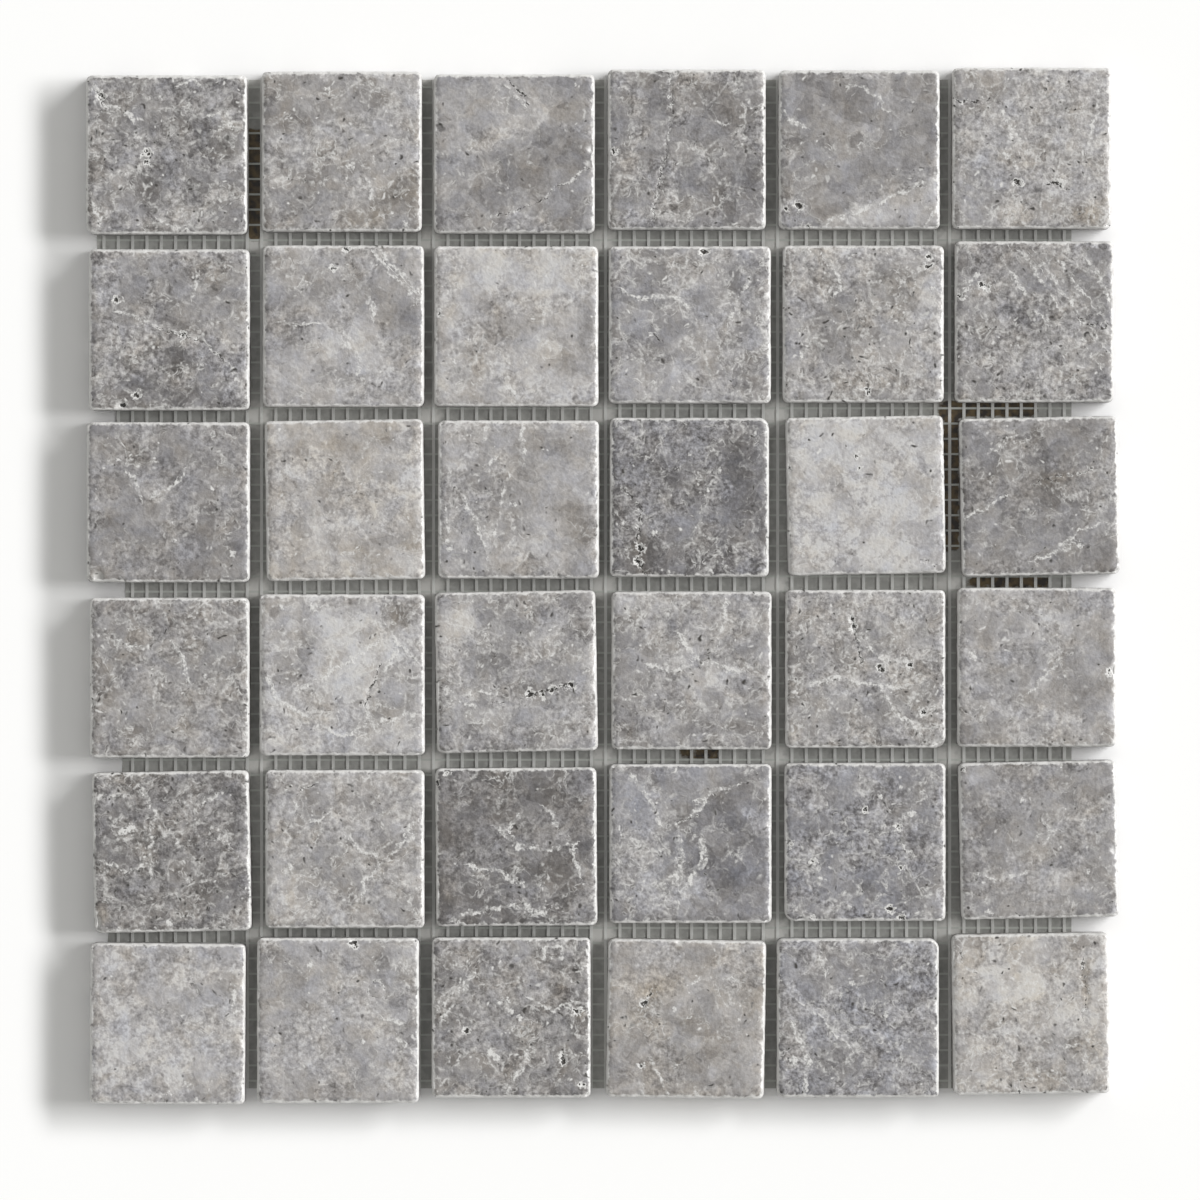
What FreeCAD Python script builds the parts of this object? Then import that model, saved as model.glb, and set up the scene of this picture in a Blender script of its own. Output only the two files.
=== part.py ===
import FreeCAD, Part
import Sketcher
import os

# A sheet of mosaic: six rows of six tumbled marble tiles on a backing net of glass fibre.
# It lies face up. Z is up, X runs along the rows and Y across them, and the origin is under
# the middle of the sheet, in the plane of the net's underside. Lengths are in millimetres.

SIZES = {
    # The nominal tile, and the joint between two tiles
    "tile_side": 47.2,
    "tile_thick": 10.0,
    "joint_width": 3.6,
    "corner_radius": 1.8,
    "worn_corner_radius": 3.2,
    "face_edge_radius": 0.9,
    "back_edge_bevel": 0.6,
    # How far the laid rows rise towards the right, for each tile
    "row_rise": 0.45,
    # Net: warp yarns run along Y and lie against the tiles, weft yarns run along X below them
    "warp_pitch": 4.2,
    "weft_pitch": 4.5,
    "warp_width": 0.9,
    "weft_width": 0.6,
    "yarn_thick": 0.25,
    "weave_overlap": 0.1,
    # How far the net stops short of the sheet's nominal edges
    "net_short_left": 3.6,
    "net_short_right": 14.4,
    "net_short_top": 3.4,
    "net_short_bottom": 4.6,
    # The net's left edge is cut along a shallow hollow, deepest a little below the middle
    "hollow_depth": 8.5,
    "hollow_radius": 800.0,
    "hollow_drop": 15.0,
}

# How each tile lies off the even grid, by row from the top and by column from the left:
# right, up, turn in degrees, extra width, extra length. The rise of the rows is apart from this.
LAID = [
    [(-0.9, 0.6, 0.0, 0.3, -0.3), (-0.3, 1.1, 0.0, 0.0, 0.0), (-0.5, 0.0, 0.0, 0.3, -0.3),
     (-0.7, 0.8, 0.0, -0.6, 0.0), (-0.9, 0.3, 0.0, 0.3, -0.3), (-1.1, 0.3, 0.0, -0.3, 0.3)],
    [(-0.1, 0.1, 0.0, 0.2, 0.3), (0.2, 0.7, 0.0, 0.3, 0.4), (0.1, 0.2, 0.0, 1.2, 0.0),
     (0.2, 0.2, 0.0, 0.6, -0.9), (0.3, 0.0, 0.0, 0.3, -0.9), (-0.3, 0.2, 0.0, -0.3, 0.3)],
    [(-0.4, 0.3, 0.0, 0.9, 0.0), (0.6, 0.5, 0.8, -0.5, 0.0), (0.8, 0.2, 0.0, 0.2, -0.6),
     (0.1, 0.4, 0.0, -0.3, -0.3), (1.0, 0.5, 1.0, -0.7, -0.7), (1.2, -0.2, 1.1, -0.6, -0.6)],
    [(0.0, -0.4, 0.0, -0.1, 0.0), (-0.2, 0.0, 0.0, 1.5, 0.3), (0.1, 0.5, 1.0, 0.2, 0.1),
     (0.7, 0.4, 0.0, 0.0, -0.6), (0.9, 0.4, 0.0, 0.0, -0.6), (0.4, 0.4, 0.0, -0.3, -0.3)],
    [(0.6, -0.6, 1.0, -0.9, 0.1), (0.6, -0.3, 0.0, -0.3, -0.6), (0.1, -0.1, 0.4, 0.3, -0.6),
     (0.4, 0.4, 0.0, 0.6, -0.3), (0.8, 0.4, 0.0, 0.3, -0.6), (0.9, 0.6, 1.2, -0.7, -1.0)],
    [(-0.6, -0.3, -0.4, -1.4, 0.2), (-1.4, 0.2, 0.0, 0.6, 1.5), (-1.4, 0.6, 0.0, -0.4, 0.0),
     (-0.9, -0.2, -0.9, -0.6, -0.6), (-1.3, -0.4, 0.0, 0.6, -0.3), (-1.3, 0.4, 0.8, -0.9, 0.1)],
]
ROWS = len(LAID)
COLUMNS = len(LAID[0])

# Corners that are worn rounder than the rest: row and column, then the corner's side in X and Y
WORN_CORNERS = {(1, 1): (-1, -1), (3, 4): (1, 1), (4, 5): (1, -1), (5, 5): (-1, -1), (6, 5): (1, 1)}

TILE_PITCH = "(sizes.tile_side + sizes.joint_width)"

# The net is one piece, made here in panels that meet face to face between yarns
PANELS_ACROSS = 4
PANELS_UP = 3
PANEL_NAME = "net_{}_{}"
PANEL_WIDE = (f"({COLUMNS} * {TILE_PITCH} - sizes.net_short_left - sizes.net_short_right)"
              f" / {PANELS_ACROSS}")
PANEL_LONG = (f"({ROWS} * {TILE_PITCH} - sizes.net_short_top - sizes.net_short_bottom)"
              f" / {PANELS_UP}")
WARP_COUNT = f"round({PANEL_WIDE} / sizes.warp_pitch)"
WEFT_COUNT = f"round({PANEL_LONG} / sizes.weft_pitch)"
NET_THICK = "(2 * sizes.yarn_thick - sizes.weave_overlap)"


def make_sheet(doc):
    """Write the driving dimensions into the sheet, one row each, with an alias."""
    sheet = doc.addObject("Spreadsheet::Sheet", "sizes")
    for row, (alias, value) in enumerate(SIZES.items(), start=1):
        sheet.set(f"A{row}", alias)
        sheet.set(f"B{row}", str(value))
        sheet.setAlias(f"B{row}", alias)
    doc.recompute()
    return sheet


def origin_part(body, role):
    """The origin plane or axis of a body that has this role."""
    return next(part for part in body.Origin.OriginFeatures if part.Role == role)


def add_sketch(body, name, plane):
    sketch = body.newObject("Sketcher::SketchObject", name)
    sketch.AttachmentSupport = [(origin_part(body, plane), "")]
    sketch.MapMode = "FlatFace"
    return sketch


def add_rectangle(sketch):
    """A rectangle whose first corner is its lower left one, with its two sides named."""
    corners = [FreeCAD.Vector(*place, 0) for place in ((-1, -1), (1, -1), (1, 1), (-1, 1))]
    for first, second in zip(corners, corners[1:] + corners[:1]):
        sketch.addGeometry(Part.LineSegment(first, second))
    for line in range(4):
        sketch.addConstraint(Sketcher.Constraint("Coincident", line, 2, (line + 1) % 4, 1))
        level = "Horizontal" if line % 2 == 0 else "Vertical"
        sketch.addConstraint(Sketcher.Constraint(level, line))
    side = sketch.addConstraint(Sketcher.Constraint("DistanceX", 0, 1, 0, 2, 2.0))
    sketch.renameConstraint(side, "across")
    side = sketch.addConstraint(Sketcher.Constraint("DistanceY", 1, 1, 1, 2, 2.0))
    sketch.renameConstraint(side, "along")


def add_section(body, name, plane, spacing, width, base):
    """The section of the first yarn of a panel, half a spacing in from the panel's edge."""
    sketch = add_sketch(body, name, plane)
    add_rectangle(sketch)
    place = sketch.addConstraint(Sketcher.Constraint("DistanceX", -1, 1, 0, 1, 1.0))
    sketch.renameConstraint(place, "inset")
    place = sketch.addConstraint(Sketcher.Constraint("DistanceY", -1, 1, 0, 1, 1.0))
    sketch.renameConstraint(place, "base")
    sketch.setExpression("Constraints.across", width)
    sketch.setExpression("Constraints.along", "sizes.yarn_thick")
    sketch.setExpression("Constraints.inset", f"({spacing} - {width}) / 2")
    sketch.setExpression("Constraints.base", base)
    return sketch


def add_pad(body, name, sketch, length):
    pad = body.newObject("PartDesign::Pad", name)
    pad.Profile = sketch
    pad.setExpression("Length", length)
    return pad


def add_row(body, name, feature, axis, count, spacing):
    """Repeat a yarn along an axis of the panel."""
    row = body.newObject("PartDesign::LinearPattern", name)
    row.Originals = [feature]
    row.Direction = (origin_part(body, axis), [""])
    row.setExpression("Occurrences", count)
    row.setExpression("Length", f"({count} - 1) * {spacing}")
    body.Tip = row
    return row


def face_name(shape, up):
    """The name of the flat face that looks straight up (up is 1) or straight down (up is -1)."""
    for number, face in enumerate(shape.Faces, start=1):
        if face.normalAt(0, 0).z * up > 0.999 and isinstance(face.Surface, Part.Plane):
            return f"Face{number}"
    raise RuntimeError("The block has no flat face on that side")


def upright_edges(shape, worn_side):
    """Names of the block's upright edges: the one at the worn corner, and the others."""
    worn = []
    others = []
    for number, edge in enumerate(shape.Edges, start=1):
        if abs(edge.tangentAt(edge.FirstParameter).z) < 0.999:
            continue
        middle = edge.CenterOfMass
        is_worn = worn_side is not None and middle.x * worn_side[0] > 0 and middle.y * worn_side[1] > 0
        names = worn if is_worn else others
        names.append(f"Edge{number}")
    return worn, others


def wear_edges(doc, body, kind, name, base, edges, size_name, size):
    """Round edges (kind is Fillet, by Radius) or bevel them (kind is Chamfer, by Size)."""
    worn = body.newObject(f"PartDesign::{kind}", name)
    worn.Base = (base, edges)
    worn.setExpression(size_name, size)
    body.Tip = worn
    doc.recompute()
    return worn


def make_tile(doc, row, column):
    """One tumbled tile: a block with its corners and face edges worn round and its back bevelled."""
    right, up, turn, extra_width, extra_length = LAID[row - 1][column - 1]
    body = doc.addObject("PartDesign::Body", f"tile_r{row}_c{column}")
    outline = add_sketch(body, f"outline_r{row}_c{column}", "XY_Plane")
    add_rectangle(outline)
    outline.addConstraint(Sketcher.Constraint("Symmetric", 0, 1, 2, 1, -1, 1))
    outline.setExpression("Constraints.across", f"sizes.tile_side + {extra_width}")
    outline.setExpression("Constraints.along", f"sizes.tile_side + {extra_length}")
    block = add_pad(body, f"block_r{row}_c{column}", outline, "sizes.tile_thick")
    doc.recompute()

    shaped = block
    worn_side = WORN_CORNERS.get((row, column))
    worn, _ = upright_edges(block.Shape, worn_side)
    if worn:
        shaped = wear_edges(doc, body, "Fillet", f"worn_r{row}_c{column}", shaped, worn,
                            "Radius", "sizes.worn_corner_radius")
    _, others = upright_edges(shaped.Shape, worn_side)
    shaped = wear_edges(doc, body, "Fillet", f"corners_r{row}_c{column}", shaped, others,
                        "Radius", "sizes.corner_radius")
    shaped = wear_edges(doc, body, "Fillet", f"face_r{row}_c{column}", shaped,
                        [face_name(shaped.Shape, 1)], "Radius", "sizes.face_edge_radius")
    wear_edges(doc, body, "Chamfer", f"back_r{row}_c{column}", shaped,
               [face_name(shaped.Shape, -1)], "Size", "sizes.back_edge_bevel")

    spin = FreeCAD.Rotation(FreeCAD.Vector(0, 0, 1), turn)
    body.Placement = FreeCAD.Placement(FreeCAD.Vector(), spin)
    from_middle = column - (COLUMNS + 1) / 2
    body.setExpression("Placement.Base.x", f"{from_middle} * {TILE_PITCH} + {right}")
    rise = f"{from_middle} * sizes.row_rise"
    body.setExpression("Placement.Base.y",
                       f"{(ROWS + 1) / 2 - row} * {TILE_PITCH} + {rise} + {up}")
    body.setExpression("Placement.Base.z", NET_THICK)
    return body


def make_panel(doc):
    """The first panel of the net: a row of weft yarns below, and a row of warp yarns on them."""
    body = doc.addObject("PartDesign::Body", PANEL_NAME.format(PANELS_ACROSS, PANELS_UP))
    across = f"{PANEL_WIDE} / {WARP_COUNT}"
    along = f"{PANEL_LONG} / {WEFT_COUNT}"
    weft_section = add_section(body, "weft_section", "YZ_Plane", along, "sizes.weft_width", "0")
    weft = add_pad(body, "weft", weft_section, PANEL_WIDE)
    warp_section = add_section(body, "warp_section", "XZ_Plane", across, "sizes.warp_width",
                               "sizes.yarn_thick - sizes.weave_overlap")
    warp = add_pad(body, "warp", warp_section, PANEL_LONG)
    warp.Reversed = True
    doc.recompute()
    add_row(body, "warps", warp, "X_Axis", WARP_COUNT, across)
    doc.recompute()
    add_row(body, "wefts", weft, "Y_Axis", WEFT_COUNT, along)
    doc.recompute()
    return body


def repeat_panel(doc, panel, across_count, up_count):
    """Another panel of the net, with a body of its own on the first one's shape."""
    body = doc.addObject("PartDesign::Body", PANEL_NAME.format(across_count, up_count))
    copy = doc.addObject("PartDesign::FeatureBase", f"copy_{across_count}_{up_count}")
    copy.BaseFeature = panel
    body.Group = [copy]
    body.Tip = copy
    doc.recompute()
    return body


def cut_left_hollow(doc, body, up_count):
    """Trim the left edge of a panel along the shallow hollow, which spans the whole net."""
    sketch = add_sketch(body, f"hollow_{up_count}", "XY_Plane")
    sketch.addGeometry(Part.Circle(FreeCAD.Vector(-1, 0, 0), FreeCAD.Vector(0, 0, 1), 1.0))
    size = sketch.addConstraint(Sketcher.Constraint("Radius", 0, 1.0))
    sketch.renameConstraint(size, "radius")
    place = sketch.addConstraint(Sketcher.Constraint("DistanceX", 0, 3, -1, 1, 1.0))
    sketch.renameConstraint(place, "reach")
    place = sketch.addConstraint(Sketcher.Constraint("DistanceY", -1, 1, 0, 3, 1.0))
    sketch.renameConstraint(place, "height")
    sketch.setExpression("Constraints.radius", "sizes.hollow_radius")
    sketch.setExpression("Constraints.reach", "sizes.hollow_radius - sizes.hollow_depth")
    height = f"{ROWS / 2} * {TILE_PITCH} - sizes.net_short_bottom - sizes.hollow_drop"
    sketch.setExpression("Constraints.height", f"{height} - {up_count - 1} * {PANEL_LONG}")
    cut = body.newObject("PartDesign::Pocket", f"trim_{up_count}")
    cut.Profile = sketch
    cut.setExpression("Length", NET_THICK)
    cut.Reversed = True
    body.Tip = cut
    doc.recompute()


def place_panel(body, across_count, up_count):
    """Bind a panel's place to the sheet, counted from the lower left one."""
    left = f"sizes.net_short_left - {COLUMNS / 2} * {TILE_PITCH}"
    bottom = f"sizes.net_short_bottom - {ROWS / 2} * {TILE_PITCH}"
    body.setExpression("Placement.Base.x", f"{left} + {across_count - 1} * {PANEL_WIDE}")
    body.setExpression("Placement.Base.y", f"{bottom} + {up_count - 1} * {PANEL_LONG}")


def make_net(doc):
    """All the panels of the net, those of the left column trimmed."""
    first = make_panel(doc)
    place_panel(first, PANELS_ACROSS, PANELS_UP)
    doc.recompute()
    panels = [first]
    for across_count in range(1, PANELS_ACROSS + 1):
        for up_count in range(1, PANELS_UP + 1):
            if (across_count, up_count) == (PANELS_ACROSS, PANELS_UP):
                continue
            body = repeat_panel(doc, first, across_count, up_count)
            if across_count == 1:
                cut_left_hollow(doc, body, up_count)
            place_panel(body, across_count, up_count)
            panels.append(body)
    return panels


def check(doc, bodies):
    """Stop with the name of anything that didn't build."""
    failed = [item.Name for item in doc.Objects if {"Invalid", "Error"} & set(item.State)]
    if failed:
        raise RuntimeError(f"These did not build: {failed}")
    for body in bodies:
        if body.Shape.isNull() or not body.Shape.isValid() or len(body.Shape.Solids) != 1:
            raise RuntimeError(f"{body.Label} is not one valid solid")


def main():
    os.makedirs("parts", exist_ok=True)
    doc = FreeCAD.newDocument("mosaic_tile_sheet")
    make_sheet(doc)
    bodies = [make_tile(doc, row, column)
              for row in range(1, ROWS + 1) for column in range(1, COLUMNS + 1)]
    bodies += make_net(doc)
    doc.recompute()
    check(doc, bodies)
    for body in bodies:
        body.Shape.exportStep(f"parts/{body.Label}.step")


main()
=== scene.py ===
import math
import random

import bpy
import numpy as np
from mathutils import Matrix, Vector, noise


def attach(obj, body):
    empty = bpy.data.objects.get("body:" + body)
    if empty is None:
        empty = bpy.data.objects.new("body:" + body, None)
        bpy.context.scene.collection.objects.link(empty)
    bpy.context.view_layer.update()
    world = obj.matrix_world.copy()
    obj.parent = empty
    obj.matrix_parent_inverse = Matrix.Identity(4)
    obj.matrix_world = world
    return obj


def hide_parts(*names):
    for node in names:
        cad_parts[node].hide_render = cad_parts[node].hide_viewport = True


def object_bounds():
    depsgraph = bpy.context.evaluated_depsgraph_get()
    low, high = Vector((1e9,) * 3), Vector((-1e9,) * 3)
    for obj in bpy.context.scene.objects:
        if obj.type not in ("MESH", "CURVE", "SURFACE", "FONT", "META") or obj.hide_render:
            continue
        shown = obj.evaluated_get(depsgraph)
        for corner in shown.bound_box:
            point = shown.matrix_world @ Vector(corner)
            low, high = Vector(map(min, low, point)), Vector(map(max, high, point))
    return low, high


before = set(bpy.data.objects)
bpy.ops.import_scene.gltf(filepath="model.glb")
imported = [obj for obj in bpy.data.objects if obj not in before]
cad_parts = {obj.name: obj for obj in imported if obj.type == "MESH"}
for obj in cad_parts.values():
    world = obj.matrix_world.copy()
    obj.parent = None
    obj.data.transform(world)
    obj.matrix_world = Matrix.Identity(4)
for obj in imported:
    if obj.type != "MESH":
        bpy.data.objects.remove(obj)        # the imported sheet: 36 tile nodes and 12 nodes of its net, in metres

bl_info = {
    "name": "Tumbled marble mosaic sheet",
    "version": (1, 0, 0),
    "blender": (4, 5, 0),
    "location": "View3D > Sidebar > Mosaic",
    "description": "Dresses a net-backed sheet of tumbled marble mosaic and sets its stage",
    "category": "Object",
}

CAD_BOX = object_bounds()

MM = 0.001
ROWS = 6
COLUMNS = 6
TILE_PITCH = 50.8
PANELS_ACROSS = 4
PANELS_UP = 3

# The photograph looks straight down on the sheet. Marks on the stone are given by its pixels.
PHOTO_SIDE = 1200
PIXELS_PER_MM = 3.41
SHEET_MIDDLE = (602.5, 586.0)

# Tones of the tiles, from darkest to lightest, and their hues, from bluish to yellow
TONES = {"deepest": -0.27, "darkest": -0.23, "dark": -0.11, "dusky": -0.04, "mid": 0.03, "clear": 0.1,
         "light": 0.17, "lighter": 0.24, "lightest": 0.31, "palest": 0.43}
HUES = {"blue": -0.9, "cool": -0.55, "plain": -0.2, "warm": 0.1, "yellow": 0.6}
# How much of a tile is netted with veins, and how strong its grain is
NETS = {"smooth": (0.1, 0.9), "some": (0.38, 0.88), "speckled": (0.25, 1.28), "veined": (0.7, 1.05),
        "dense": (0.85, 1.15)}
# Tone, hue and net of each tile, row by row from the top of the photograph
LOOKS = [
    ["dusky plain dense", "clear warm some", "mid plain smooth", "dusky plain speckled",
     "mid plain smooth", "light warm veined"],
    ["dusky plain speckled", "lighter plain smooth", "lightest warm smooth", "clear cool some",
     "light warm veined", "dusky plain speckled"],
    ["dusky plain smooth", "lightest yellow smooth", "light plain smooth", "darkest blue speckled",
     "palest plain smooth", "dusky plain smooth"],
    ["dusky warm some", "lightest plain some", "clear plain some", "clear plain some", "clear warm veined",
     "light plain smooth"],
    ["darkest warm dense", "light warm some", "deepest plain smooth", "mid blue smooth",
     "dusky blue speckled", "mid plain smooth"],
    ["lighter plain smooth", "light plain smooth", "dark warm veined", "light yellow smooth",
     "mid blue speckled", "lighter yellow some"],
]

# Brown stains in the film, each from its upper left to its lower right corner
FILM_STAINS = [((246, 128), (262, 240)), ((940, 400), (1040, 416)), ((944, 415), (960, 552)),
               ((968, 577), (1052, 588)), ((679, 749), (722, 759))]

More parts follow.
